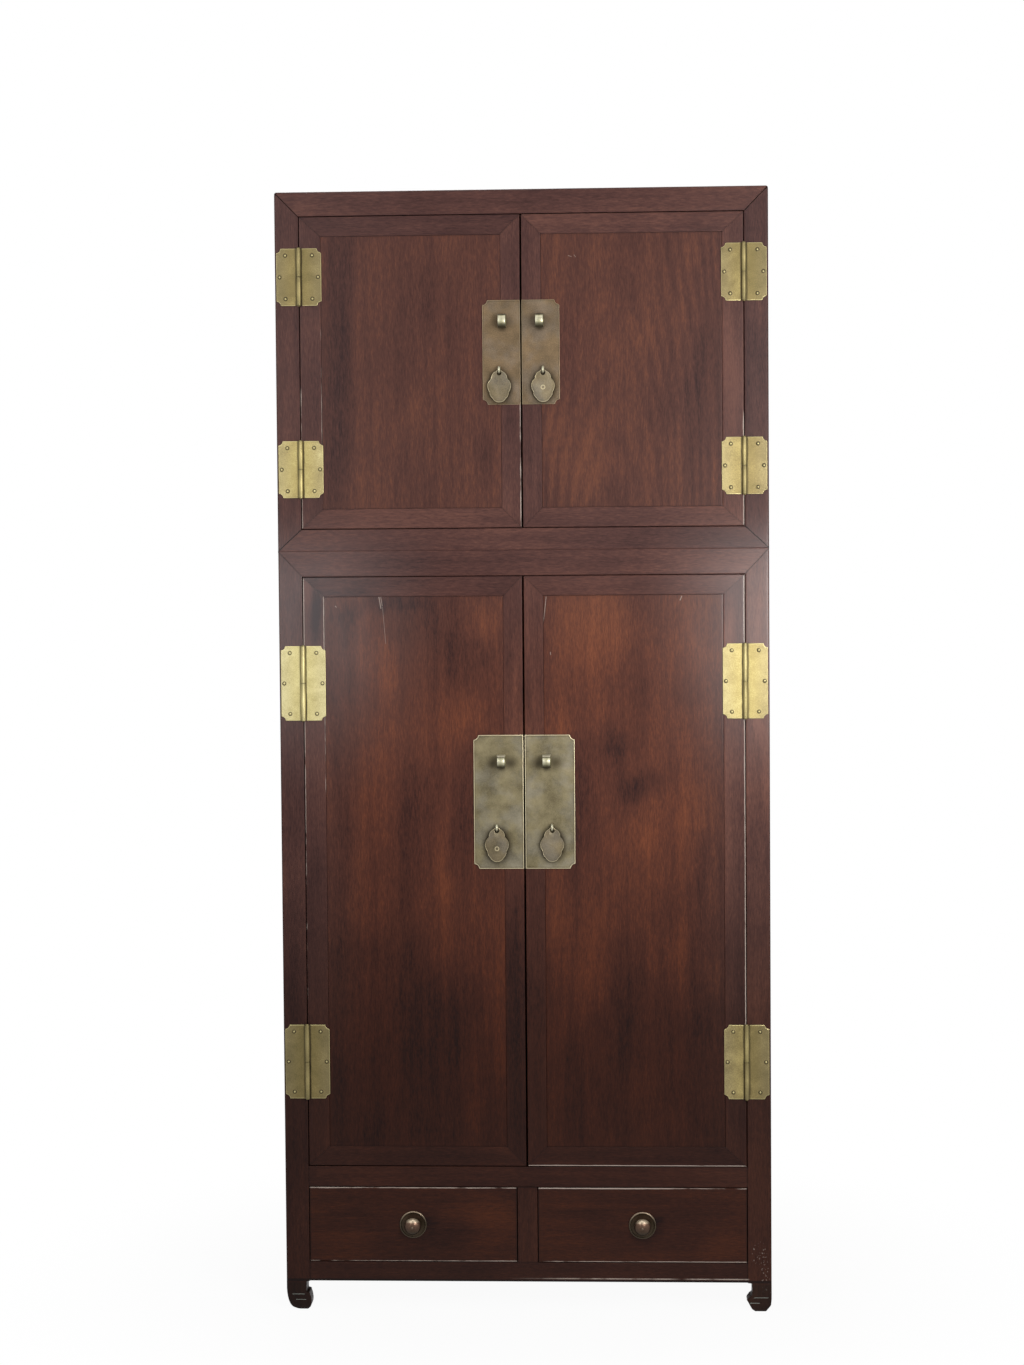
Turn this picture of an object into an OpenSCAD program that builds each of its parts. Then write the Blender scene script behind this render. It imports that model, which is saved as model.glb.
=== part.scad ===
// Compound cabinet in dark hardwood: a two-door chest standing on a tall cabinet
// with two doors, two drawers under them and hoof feet. Millimetres.
// +Z is up, the doors face -Y, and the origin lies on the floor under the middle
// of the whole cabinet, with its knobs. Every panel floats in grooves, the rails
// are tenoned into the posts, and post, front rail and side rail meet in a
// three-way mitre at each corner of the frames.

/* [Case] */
// Width over the posts
case_w = 930; // [800:10:1100]
// Depth over the posts, without the brass
case_d = 485; // [400:5:600]
// Height of the lower cabinet
lower_h = 1456; // [1340:2:1600]
// Height of the upper chest
upper_h = 678; // [600:2:800]
// Side of the square posts, and depth of the rails
post = 45; // [42:1:52]
// Radius of the upright outer arrises
arris_r = 3; // [1:0.5:5]
// Radius of the arrises round the top of the chest
crown_r = 5; // [1:0.5:8]
// Radius of the arrises on both sides of the seam between chest and cabinet
seam_r = 1.2; // [0.4:0.2:3]

/* [Rails] */
// Height of the lower cabinet's top frame
lower_top_rail = 48; // [40:1:60]
// Height of the rail between doors and drawers
sill_rail = 39; // [34:1:50]
// Height of the rail under the drawers
base_rail = 38; // [34:1:50]
// Clear height of the legs under that rail
leg_h = 55; // [48:1:80]
// Height of the drawer openings
drawer_open_h = 146; // [110:2:180]
// Width of the upright between the drawers
divider_w = 38; // [30:1:50]
// Height of the chest's top frame
upper_top_rail = 46; // [40:1:60]
// Height of the chest's bottom frame
upper_base_rail = 41; // [38:1:56]
// Height of the rail across the middle of the lower back
back_rail = 38; // [30:1:60]
// Height of the lips that stop the doors
stop_h = 6; // [4:0.5:9]

/* [Joinery] */
// Thickness of the tenons
tenon_t = 12; // [8:0.5:13]
// Length of the tenons
tenon_l = 15; // [8:0.5:15.5]
// Shoulder above and below each tenon
tenon_shoulder = 6; // [4:0.5:9]
// Side of the stub tenons in the three-way mitres
stub_w = 11; // [6:0.5:12]
// Cover left between a stub tenon and the outside
stub_cover = 10; // [6:0.5:14]
// Wood left between a stub tenon and the panel grooves
stub_wall = 1; // [0.5:0.5:3]
// Play of a tenon in its mortise, and width of a closed joint line
joint_gap = 0.1; // [0.05:0.01:0.3]
// Depth of the panel grooves
groove_d = 8; // [6:0.5:8]
// Play at the bottom of a groove
groove_play = 0.8; // [0.3:0.1:0.9]
// Thickness of the panel tongues
tongue_t = 5; // [4:0.5:6]
// Play on each face of a tongue
tongue_play = 0.15; // [0.05:0.05:0.3]
// Play round the field of a panel
field_play = 0.4; // [0.2:0.1:0.8]

/* [Panels and shelves] */
// Thickness of the side and back panels
panel_t = 12; // [10:0.5:14]
// Depth of the side and back panels behind the posts' faces
panel_recess = 4; // [1:0.5:6]
// Thickness of the floor and top boards
floor_t = 16; // [12:0.5:20]
// Depth of the top boards under their frames
top_recess = 1; // [0.5:0.5:4]
// Thickness of the shelves
shelf_t = 18; // [14:1:24]
// Height of the lower shelf's underside above the sill, level with the top of the
// rail across the back
lower_shelf_rise = 556; // [350:2:700]
// Height of the chest shelf's underside above the chest's floor
upper_shelf_rise = 280; // [200:2:360]
// Depth of a shelf's front edge behind the posts' faces
shelf_setback = 32; // [29:1:40]
// Reach of a shelf past the back posts' inner faces
shelf_lap = 12; // [4:1:24]
// Width of the shelf bearers
bearer_w = 20; // [14:1:30]
// Height of the shelf bearers
bearer_h = 26; // [16:1:40]

/* [Doors] */
// Thickness of the doors
door_t = 24; // [22:0.5:26]
// Gap between a door and the post, the rail above and the rail below
door_gap = 1.6; // [1:0.1:2.5]
// Gap between a pair of doors
meeting_gap = 3.2; // [2.6:0.1:4]
// Width of the stiles at the hinges
hinge_stile = 40; // [34:0.5:48]
// Width of the stiles where a pair of doors meets
meeting_stile = 36.5; // [30:0.5:46]
// Height of the door rails
door_rail = 37; // [30:0.5:46]
// Thickness of the door panels
door_panel_t = 11; // [9:0.5:11.5]
// Depth of the door panels behind the faces of their frames
door_recess = 0.8; // [0.4:0.1:1.2]
// Width of the battens behind a door panel
batten_w = 30; // [20:1:40]
// Height of the battens above the panel
batten_h = 10; // [6:0.5:11]
// Depth of the battens' dovetails
batten_key = 4; // [2:0.5:5]
// Flare of the battens' dovetails
batten_flare = 3; // [1:0.5:5]

/* [Drawers] */
// Gap round a drawer front
drawer_gap = 1.5; // [1:0.1:2.5]
// Thickness of the drawer fronts
front_t = 20; // [18:0.5:24]
// Thickness of the drawer sides and backs
side_t = 11; // [9:0.5:14]
// Thickness of the drawer bottoms
bottom_t = 6; // [5:0.5:8]
// Depth of the grooves that hold a drawer bottom
bottom_key = 4; // [3:0.5:6]
// Height of a drawer bottom above the lower edges of the sides
bottom_rise = 8; // [5:0.5:14]
// Length of the dovetails of the drawer sides
tail_l = 12; // [8:0.5:15]
// Width of a dovetail where it leaves the drawer side, as a share of the pitch
tail_root = 0.48; // [0.3:0.02:0.6]
// Width of a dovetail at its tip, as a share of the pitch
tail_tip = 0.68; // [0.6:0.02:0.8]
// Number of dovetails on each side
tail_n = 3; // [2:1:4]
// Gap between a drawer and the back of the cabinet
drawer_back_gap = 6; // [3:1:30]
// Gap between a drawer side and the runner under it
runner_gap = 0.3; // [0.2:0.1:0.6]
// Thickness of the drawer runners
runner_t = 20; // [14:1:24]
// Width of the ledge that carries a drawer side
runner_ledge = 20; // [14:1:28]
// Height of the guides beside the drawers
guide_h = 30; // [15:1:60]

/* [Hinges] */
// Height of the chest's hinges
upper_hinge_h = 107.5; // [80:0.5:130]
// Distance from the chest's door opening edges to the hinges
upper_hinge_inset = 60.5; // [40:0.5:80]
// Height of the lower cabinet's hinges
lower_hinge_h = 142; // [100:0.5:170]
// Distance from the lower door opening edges to the hinges
lower_hinge_inset = 131.5; // [80:0.5:180]
// Width of a hinge leaf from the pin
leaf_w = 42.5; // [34:0.5:44]
// Thickness of a hinge leaf
leaf_t = 2; // [1.2:0.1:2.2]
// Radius of the rolled barrel
barrel_r = 4.5; // [4:0.1:6]
// Clearance between the barrel and the wood
barrel_lift = 0.5; // [0.4:0.1:0.8]
// Radius of the hinge pin
pin_r = 2.2; // [1.6:0.1:2.4]
// Radial clearance of the pin in its barrel
pin_play = 0.05; // [0.02:0.01:0.1]
// Radius of the buttons that close the ends of a pin
pin_head_r = 3.4; // [3:0.1:4]
// Thickness of those buttons
pin_head_t = 1.2; // [0.6:0.1:2]
// Gap between the two knuckles of a hinge
knuckle_gap = 0.4; // [0.3:0.1:0.6]
// Clearance between a leaf and the other leaf's knuckle
knuckle_clear = 0.6; // [0.3:0.1:2]
// Radius of the concave corner cuts of the leaves
leaf_scoop = 8; // [4:0.5:10]
// Radius of the nail heads
nail_head_r = 3; // [2:0.1:3.5]
// Height of the nail heads
nail_head_h = 1.4; // [0.8:0.1:1.6]
// Radius of the nail shanks
nail_r = 1; // [0.8:0.1:1.3]
// Length of a nail below its head
nail_l = 12; // [8:0.5:16]
// Distance of the end nails from a leaf's upper and lower edges
nail_end = 13; // [9:0.5:18]
// Distance of the end nails from the outer edge of a leaf
nail_in = 17; // [12:0.5:20]
// Distance of the middle nail from the outer edge of a leaf
nail_out = 6; // [4.5:0.5:9]

/* [Lock plates] */
// Thickness of the lock plates
plate_t = 2; // [1.2:0.1:3]
// Width of one chest lock plate
upper_plate_w = 71; // [64:0.5:90]
// Height of a chest lock plate
upper_plate_h = 196; // [170:1:230]
// Height of that plate's middle above the chest's door opening sill
upper_plate_rise = 331; // [270:1:380]
// Width of one lower lock plate
lower_plate_w = 94.5; // [84:0.5:110]
// Height of a lower lock plate
lower_plate_h = 255; // [230:1:290]
// Height of that plate's middle above the lower door opening's sill
lower_plate_rise = 700; // [600:1:800]
// Radius of the concave corner cuts of the plates
plate_scoop = 9; // [5:0.5:12]

/* [Lock staples] */
// Width of the staple straps
staple_w = 16; // [10:0.5:20]
// Radius of the padlock bar's hole
staple_bore_r = 9.6; // [7:0.1:10.2]
// Thickness of the strap round that hole
staple_wall = 3.2; // [2:0.1:4]
// Distance from the plate to the middle of the hole
staple_out = 15; // [14:0.5:18]
// Height of the strap where it meets the plate
staple_neck_h = 24; // [12:0.5:25]
// Distance of the chest's staples from the stile's inner edge, on the stile
upper_staple_edge = 2.9; // [2.7:0.1:12]
// Height of the chest's staples above their plates' middles
upper_staple_rise = 58; // [45:1:75]
// Distance of the lower staples from the stile's inner edge, on the panel
lower_staple_edge = 4.9; // [3.5:0.1:16]
// Height of the lower staples above their plates' middles
lower_staple_rise = 78; // [50:1:100]
// Width of the tang that passes through the door
tang_w = 5; // [3:0.1:5]
// Height of the tang
tang_h = 6; // [4:0.5:8]
// Length of the tang's ends, bent flat behind the door
clinch_h = 24; // [12:1:30]
// Thickness of the bent ends
clinch_t = 1.8; // [1:0.1:2.4]

/* [Pull drops] */
// Distance of the chest's pulls from the stile's inner edge, on the panel
upper_pull_edge = 3.2; // [3:0.1:12]
// Depth of the chest's pull eyes under their plates' middles
upper_pull_drop = 33; // [10:1:50]
// Distance of the lower pulls from the stile's inner edge, on the panel
lower_pull_edge = 14.4; // [8:0.1:26]
// Depth of the lower pull eyes under their plates' middles
lower_pull_drop = 48; // [10:1:60]
// Radius of the eye's wire
eye_wire_r = 2.5; // [2:0.1:3]
// Radius of the eye's opening
eye_open_r = 2.2; // [2.1:0.1:3]
// Radius of the eye's shank
eye_shank_r = 1.5; // [1.2:0.1:1.9]
// Length of the shank's ends, bent flat behind the panel
eye_clinch_h = 16; // [8:1:20]
// Thickness of a drop
drop_t = 1.6; // [1:0.1:1.7]
// Width of a drop
drop_w = 44.5; // [36:0.5:52]
// Length of a chest drop
upper_drop_l = 62; // [50:1:80]
// Length of a lower drop
lower_drop_l = 66.5; // [50:1:90]
// Radius of the hole in a drop
drop_hole_r = 4.6; // [4.2:0.1:5.5]
// Height of the bridge above that hole
drop_bridge = 2.2; // [1.8:0.1:2.3]
// Gap between the bridge and the wire that carries it
drop_seat_gap = 0.6; // [0.4:0.1:0.8]

/* [Knobs] */
// Radius of a drawer rose
rose_r = 26; // [20:0.5:32]
// Thickness of a rose at its rim
rose_t = 3.5; // [2.5:0.1:5]
// Width of a rose's raised rim
rose_rim_w = 3.2; // [2:0.1:5]
// Thickness of a rose in its dish
rose_dish_t = 1.4; // [1:0.1:2]
// Radius of a knob's collar
collar_r = 10; // [7:0.5:14]
// Thickness of a knob's collar
collar_t = 3; // [2:0.5:4]
// Radius of a knob's head
knob_r = 16; // [12:0.5:18]
// Height of the head in front of its widest place
knob_front_h = 11.5; // [9:0.5:13]
// Height of the head behind its widest place
knob_back_h = 8.6; // [6:0.1:10]
// Radius of a knob's neck
knob_neck_r = 7; // [4:0.5:9]
// Distance from the drawer's face to the top of the nipple
knob_l = 30; // [28:0.5:38]
// Radius of the nipple on a knob
nipple_r = 2.6; // [1.8:0.1:4]
// Height of the nipple above the head
nipple_out = 1.8; // [1:0.1:2.4]
// Radius of a knob's shank
knob_shank_r = 3; // [2:0.1:4]
// Length of the shank in the drawer's front
knob_shank_l = 14; // [8:0.5:16]

/* [Feet] */
// Setback of the leg under the rails from the post's inner faces
leg_in = 7; // [4:0.5:9]
// Reach of a hoof past the post's inner faces
hoof_reach = 3; // [1:0.5:6]
// Height of a hoof
hoof_h = 33; // [28:1:40]
// Height of a hoof's furthest reach
hoof_toe_h = 14; // [10:1:24]
// Width of the ledge on top of a hoof
hoof_ledge = 6.5; // [3:0.5:9]
// Cut across the inner corner of a hoof, measured along each side
hoof_corner = 15; // [4:0.5:20]
// Setback of the sole from the post's inner faces
toe_in = 3; // [0:0.5:8]
// Setback of the sole from the front's and back's outer side edges
heel_in = 15; // [4:0.5:20]
// Height at which those edges start to curve in
heel_h = 30; // [10:1:40]
// Setback of the sole from the front and back faces
sole_in = 4; // [1:0.5:12]
// Height at which those faces start to curve in
sole_h = 12; // [4:1:30]
// Height of the lower of two lines cut across each foot
foot_line_low = 18; // [12:1:21]
// Height of the upper line
foot_line_high = 29; // [24:1:36]
// Width of the lines
foot_line_w = 1.2; // [0.6:0.1:2]
// Depth of the lines
foot_line_d = 0.8; // [0.3:0.1:1.5]

/* [Hidden] */
$fn = 48;

wood_dark = "#3a2320";
wood_red = "#5a3326";
wood_plain = "#7a5a3c";
brass = "#a08a52";
bronze = "#6a4a34";

// Overlap of shapes that are joined, and overshoot of those that cut
over = 1;

// Furthest reach of the brass in front of the posts' faces
staple_r = staple_bore_r + staple_wall;
front_reach = max(knob_l, plate_t + staple_out + staple_r);

// Planes of the case
half_w = case_w / 2;
in_x = half_w - post;
front_y = -(case_d - front_reach) / 2;
back_y = front_y + case_d;
mid_y = (front_y + back_y) / 2;
in_y0 = front_y + post;
in_y1 = back_y - post;

// Levels of the lower cabinet
base_z = leg_h + base_rail;
drawer_z = base_z + drawer_open_h;
sill_z = drawer_z + sill_rail;
head_z = lower_h - lower_top_rail;
lower_shelf_z = sill_z + lower_shelf_rise;
back_rail_z = lower_shelf_z - back_rail;

// Levels of the chest
chest_sill_z = lower_h + upper_base_rail;
top_z = lower_h + upper_h;
chest_head_z = top_z - upper_top_rail;

// Sizes shared by the hinges
axis_x = -in_x + door_gap / 2;
barrel_out = barrel_r + barrel_lift;
axis_y = front_y - barrel_out;

// A door level: sill, head, hinge height, hinge inset, plate width, plate height,
// plate middle, staple x, staple z, pull x, pull z, drop length and batten places
SILL = 0;
HEAD = 1;
HINGE_H = 2;
HINGE_INSET = 3;
PLATE_W = 4;
PLATE_H = 5;
PLATE_Z = 6;
STAPLE_X = 7;
STAPLE_Z = 8;
PULL_X = 9;
PULL_Z = 10;
DROP_L = 11;
BATTENS = 12;
stile_edge = meeting_gap / 2 + meeting_stile;
upper_plate_z = chest_sill_z + upper_plate_rise;
lower_plate_z = sill_z + lower_plate_rise;
UPPER = [
    chest_sill_z, chest_head_z, upper_hinge_h, upper_hinge_inset, upper_plate_w, upper_plate_h,
    upper_plate_z, stile_edge - upper_staple_edge, upper_plate_z + upper_staple_rise,
    stile_edge + upper_pull_edge, upper_plate_z - upper_pull_drop, upper_drop_l, [0.22, 0.8],
];
LOWER = [
    sill_z, head_z, lower_hinge_h, lower_hinge_inset, lower_plate_w, lower_plate_h,
    lower_plate_z, stile_edge + lower_staple_edge, lower_plate_z + lower_staple_rise,
    stile_edge + lower_pull_edge, lower_plate_z - lower_pull_drop, lower_drop_l,
    [0.14, 0.46, 0.82],
];

// Panels as rows: the axis they are thin along, the two corners of the opening in
// the other two axes, the place of the first face and the thickness
side_x = -half_w + panel_recess;
back_panel_y = back_y - panel_recess - panel_t;
lower_side_boards = [
    ["x", [in_y0, base_z], [in_y1, drawer_z], side_x, panel_t],
    ["x", [in_y0, sill_z], [in_y1, head_z], side_x, panel_t],
];
lower_back_boards = [
    ["y", [-in_x, base_z], [in_x, drawer_z], back_panel_y, panel_t],
    ["y", [-in_x, sill_z], [in_x, back_rail_z], back_panel_y, panel_t],
    ["y", [-in_x, back_rail_z + back_rail], [in_x, head_z], back_panel_y, panel_t],
];
lower_floor_board = [["z", [-in_x, in_y0], [in_x, in_y1], sill_z - floor_t, floor_t]];
lower_top_boards = [
    ["z", [-in_x, in_y0], [in_x, in_y1], lower_h - top_recess - floor_t, floor_t],
];
upper_side_boards = [["x", [in_y0, chest_sill_z], [in_y1, chest_head_z], side_x, panel_t]];
upper_back_boards = [
    ["y", [-in_x, chest_sill_z], [in_x, chest_head_z], back_panel_y, panel_t],
];
upper_flat_boards = [
    ["z", [-in_x, in_y0], [in_x, in_y1], chest_sill_z - floor_t, floor_t],
    ["z", [-in_x, in_y0], [in_x, in_y1], top_z - top_recess - floor_t, floor_t],
];

// Lobes of a drop as shares of half its width and of its length, with the bulge of the
// arc that leads to each point
drop_half = [
    [0.69, 0.28, 0.16],
    [0.81, 0.70, 0.21],
    [0.56, 0.885, 0.12],
    [0, 1, 0.15],
];

// Points of an arc from p to q whose bulge is a share of the chord, to its left
function arc_points(p, q, bulge, steps) =
    let (chord = q - p, left = [-chord[1], chord[0]])
    [for (i = [1 : steps]) let (t = i / steps) p + t * chord + 4 * bulge * t * (1 - t) * left];

// Outline of one side of a drop, from the top down: round the hole, then the lobes
function drop_side(length) =
    let (
        boss_r = drop_hole_r + drop_bridge,
        boss = [for (a = [90 : -10 : 30]) boss_r * [cos(a), sin(a) - 1]],
        tips = [for (row = drop_half) [row[0] * drop_w / 2, -row[1] * length]],
        starts = concat([boss[len(boss) - 1]], tips)
    )
    concat(boss, [
        for (i = [0 : len(tips) - 1]) each arc_points(starts[i], tips[i], drop_half[i][2], 6)
    ]);

// Places of a level's two hinges, as the heights of their lower ends
function hinge_places(level) = [
    level[SILL] + level[HINGE_INSET],
    level[HEAD] - level[HINGE_INSET] - level[HINGE_H],
];

// Nails of a leaf as places from the pin and from its lower end
function nail_places(h) = [
    [leaf_w - nail_in, nail_end],
    [leaf_w - nail_out, h / 2],
    [leaf_w - nail_in, h - nail_end],
];

// Edges of a left door as x0, x1, z0, z1
function door_edges(level) = [
    -in_x + door_gap, -meeting_gap / 2, level[SILL] + door_gap, level[HEAD] - door_gap,
];

// A door's panel as a row like those of the case
function door_board(level) =
    let (e = door_edges(level))
    ["y", [e[0] + hinge_stile, e[2] + door_rail], [e[1] - meeting_stile, e[3] - door_rail],
        front_y + door_recess, door_panel_t];

// Extrudes an outline in (y, z) along X
module along_x(x0, x1) {
    translate([x0, 0, 0])
        rotate([90, 0, 90])
            linear_extrude(x1 - x0)
                children();
}

// Extrudes an outline in (x, z) along Y
module along_y(y0, y1) {
    translate([0, y1, 0])
        rotate([90, 0, 0])
            linear_extrude(y1 - y0)
                children();
}

// Extrudes an outline in (x, y) along Z
module along_z(z0, z1) {
    translate([0, 0, z0])
        linear_extrude(z1 - z0)
            children();
}

// Extrudes an outline along the named axis
module slab(axis, a0, a1) {
    if (axis == "x") along_x(a0, a1) children();
    if (axis == "y") along_y(a0, a1) children();
    if (axis == "z") along_z(a0, a1) children();
}

// Box between two corners
module block(x0, x1, y0, y1, z0, z1) {
    translate([x0, y0, z0])
        cube([x1 - x0, y1 - y0, z1 - z0]);
}

// Rectangle between two corners
module rect(p, q) {
    translate(p)
        square(q - p);
}

// A left-hand shape and its mirror image on the right
module both_sides() {
    children();
    mirror([1, 0, 0]) children();
}

// A front shape and its mirror image at the back of the case
module front_and_back() {
    children();
    translate([0, 2 * mid_y, 0])
        mirror([0, 1, 0]) children();
}

// What a round of radius r takes off a square corner at the origin
module corner_cut(r) {
    difference() {
        translate([-over, -over]) square(r + over);
        translate([r, r]) circle(r = r);
    }
}

// Rectangle with its lower and upper corners rounded
module soft_rect(p, q, low_r, high_r) {
    difference() {
        rect(p, q);
        if (low_r > 0) {
            translate(p) corner_cut(low_r);
            translate([q[0], p[1]]) mirror([1, 0]) corner_cut(low_r);
        }
        translate([p[0], q[1]]) mirror([0, 1]) corner_cut(high_r);
        translate(q) mirror([1, 0]) mirror([0, 1]) corner_cut(high_r);
    }
}

// Outer form of a case between two levels, with its arrises rounded
module envelope(z0, z1, low_r, high_r) {
    intersection() {
        along_z(z0, z1) soft_rect([-half_w, front_y], [half_w, back_y], arris_r, arris_r);
        along_y(front_y, back_y) soft_rect([-half_w, z0], [half_w, z1], low_r, high_r);
        along_x(-half_w, half_w) soft_rect([front_y, z0], [back_y, z1], low_r, high_r);
    }
}

// Two crossed rectangles that reach past the corners p and q
module crossed_rects(p, q, reach) {
    rect(p - [reach, 0], q + [reach, 0]);
    rect(p - [0, reach], q + [0, reach]);
}

// Floating panel: its field and the tongues on its four edges
module board(row) {
    tongue_a = row[3] + (row[4] - tongue_t) / 2;
    play = [field_play, field_play];
    slab(row[0], row[3], row[3] + row[4]) rect(row[1] + play, row[2] - play);
    slab(row[0], tongue_a, tongue_a + tongue_t)
        crossed_rects(row[1] + play, row[2] - play, groove_d - groove_play + field_play);
}

module boards(rows) {
    for (row = rows) board(row);
}

// Grooves that take the tongues of the panels
module grooves(rows) {
    for (row = rows) {
        tongue_a = row[3] + (row[4] - tongue_t) / 2;
        slab(row[0], tongue_a - tongue_play, tongue_a + tongue_t + tongue_play)
            crossed_rects(row[1], row[2], groove_d);
    }
}

// Tenons of a rail that runs along X, or the mortises for them
module tenons_x(y0, z0, h, play) {
    y = y0 + (post - tenon_t) / 2;
    block(-in_x - tenon_l - play, in_x + tenon_l + play, y - play, y + tenon_t + play,
        z0 + tenon_shoulder - play, z0 + h - tenon_shoulder + play);
}

// Rail between two posts along X
module rail_x(y0, z0, h) {
    block(-in_x, in_x, y0, y0 + post, z0, z0 + h);
    tenons_x(y0, z0, h, 0);
}

// Tenons of a rail that runs along Y, or the mortises for them
module tenons_y(x0, z0, h, play) {
    x = x0 + (post - tenon_t) / 2;
    block(x - play, x + tenon_t + play, in_y0 - tenon_l - play, in_y1 + tenon_l + play,
        z0 + tenon_shoulder - play, z0 + h - tenon_shoulder + play);
}

// Rail between two posts along Y
module rail_y(x0, z0, h) {
    block(x0, x0 + post, in_y0, in_y1, z0, z0 + h);
    tenons_y(x0, z0, h, 0);
}

// Stub tenon in the three-way mitre of a left front corner, or its mortise
module stub(z0, z1, play) {
    inner = post - groove_d - stub_wall;
    block(-half_w + inner - stub_w - play, -half_w + inner + play,
        front_y + inner - stub_w - play, front_y + inner + play, z0 - play, z1 + play);
}

// Post of the left front corner from the side outline's lower edge up. Each row of
// heights is for the outer face and for the inner face
module mitred_post(low, high) {
    intersection() {
        along_y(front_y, in_y0)
            polygon([[-half_w, low[0]], [-half_w, high[0]], [-in_x, high[1]], [-in_x, low[1]]]);
        along_x(-half_w, -in_x)
            polygon([[front_y, low[0]], [front_y, high[0]], [in_y0, high[1]], [in_y0, low[1]]]);
    }
}

// Four mitred members of a frame whose outer edge is at level outer and whose inner
// edge is at level inner. Drawn in by e, the mitred faces stand joint_gap apart
module mitred_frame(outer, inner) {
    e = joint_gap / sqrt(2);
    front_and_back()
        intersection() {
            along_y(front_y, in_y0)
                polygon([[-half_w, outer], [half_w, outer], [in_x, inner], [-in_x, inner]]);
            along_z(min(outer, inner), max(outer, inner))
                polygon([[-half_w + e, front_y], [half_w - e, front_y],
                    [in_x - e, in_y0], [-in_x + e, in_y0]]);
        }
    both_sides()
        intersection() {
            along_x(-half_w, -in_x)
                polygon([[front_y, outer], [back_y, outer], [in_y1, inner], [in_y0, inner]]);
            along_z(min(outer, inner), max(outer, inner))
                polygon([[-half_w, front_y + e], [-in_x, in_y0 + e],
                    [-in_x, in_y1 - e], [-half_w, back_y - e]]);
        }
}

// Four corners from the left front one
module four_corners() {
    both_sides() front_and_back() children();
}

// Outline of a foot from an outer face inwards, whose sole is set back from that face
module foot_outline(setback, start_h) {
    leg = post - leg_in;
    toe = [post + hoof_reach, hoof_toe_h];
    sole = [post - toe_in, 0];
    polygon(concat(
        [[0, leg_h], [0, start_h]],
        arc_points([0, start_h], [setback, 0], -0.15, 6),
        [sole],
        arc_points(sole, toe, -0.18, 6),
        arc_points(toe, [leg + hoof_ledge, hoof_h], -0.06, 3),
        [[leg, hoof_h], [leg, leg_h]]
    ));
}

// Foot of the left front post
module foot() {
    reach = post + hoof_reach;
    far = reach + over;
    near = reach - hoof_corner - over;
    difference() {
        intersection() {
            along_y(front_y, front_y + far) translate([-half_w, 0]) foot_outline(heel_in, heel_h);
            along_x(-half_w, -half_w + far) translate([front_y, 0]) foot_outline(sole_in, sole_h);
        }
        along_z(-over, leg_h - over)
            translate([-half_w, front_y])
                polygon([[far, near], [far, far], [near, far]]);
        for (z = [foot_line_low, foot_line_high])
            block(-half_w + heel_in, -in_x - toe_in, front_y - over,
                front_y + foot_line_d, z - foot_line_w / 2, z + foot_line_w / 2);
    }
}

// Mortises of the lower posts for the rails between them
module lower_mortises() {
    for (z = [[leg_h, base_rail], [drawer_z, sill_rail]]) {
        tenons_x(front_y, z[0], z[1], joint_gap);
        tenons_x(in_y1, z[0], z[1], joint_gap);
        tenons_y(-half_w, z[0], z[1], joint_gap);
        tenons_y(in_x, z[0], z[1], joint_gap);
    }
    tenons_x(in_y1, back_rail_z, back_rail, joint_gap);
}

module lower_grooves() {
    both_sides() grooves(lower_side_boards);
    grooves(lower_back_boards);
    grooves(lower_floor_board);
    grooves(lower_top_boards);
}

module upper_grooves() {
    both_sides() grooves(upper_side_boards);
    grooves(upper_back_boards);
    grooves(upper_flat_boards);
}

// Holes for the nails of a level's fixed leaves, or of its left door's leaves
module nail_holes(level, direction) {
    for (z = hinge_places(level), n = nail_places(level[HINGE_H]))
        translate([axis_x + direction * n[0], front_y, z + n[1]])
            rotate([-90, 0, 0])
                cylinder(r = nail_r + joint_gap / 2, h = nail_l);
}

module lower_posts() {
    color(wood_dark)
        difference() {
            intersection() {
                four_corners() {
                    mitred_post([leg_h, leg_h], [lower_h, head_z]);
                    foot();
                    stub(head_z - over, lower_h - stub_cover, 0);
                }
                envelope(0, lower_h, 0, seam_r);
            }
            lower_mortises();
            lower_grooves();
            both_sides() nail_holes(LOWER, -1);
        }
}

module lower_top_frame() {
    color(wood_dark)
        difference() {
            union() {
                intersection() {
                    mitred_frame(lower_h, head_z);
                    envelope(0, lower_h, 0, seam_r);
                }
                block(-in_x, in_x, front_y + door_t + door_gap / 2, in_y0, head_z - stop_h,
                    head_z + over);
            }
            four_corners() stub(head_z - over, lower_h - stub_cover, joint_gap);
            grooves(lower_top_boards);
            grooves(lower_back_boards);
            both_sides() grooves(lower_side_boards);
        }
}

module lower_top_board() {
    color(wood_plain) boards(lower_top_boards);
}

// Upright between the drawers with a tenon at each end, or the mortises for it
module divider(play) {
    depth = post / 2;
    reach = base_rail / 3;
    block(-tenon_t / 2 - play, tenon_t / 2 + play, front_y + (post - depth) / 2 - play,
        front_y + (post + depth) / 2 + play, base_z - reach - play, drawer_z + reach + play);
}

module lower_front_rails() {
    color(wood_dark) {
        difference() {
            union() {
                rail_x(front_y, leg_h, base_rail);
                rail_x(front_y, drawer_z, sill_rail);
                block(-in_x, in_x, front_y + door_t + door_gap / 2, in_y0,
                    sill_z - over, sill_z + stop_h);
            }
            grooves(lower_floor_board);
            divider(joint_gap);
        }
        block(-divider_w / 2, divider_w / 2, front_y, in_y0, base_z + joint_gap,
            drawer_z - joint_gap);
        divider(0);
    }
}

module lower_side_rails() {
    color(wood_dark)
        difference() {
            both_sides() {
                rail_y(-half_w, leg_h, base_rail);
                rail_y(-half_w, drawer_z, sill_rail);
            }
            both_sides() grooves(lower_side_boards);
            grooves(lower_floor_board);
        }
}

module lower_back_rails() {
    color(wood_dark)
        difference() {
            union() {
                rail_x(in_y1, leg_h, base_rail);
                rail_x(in_y1, drawer_z, sill_rail);
                rail_x(in_y1, back_rail_z, back_rail);
            }
            grooves(lower_back_boards);
            grooves(lower_floor_board);
        }
}

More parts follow.
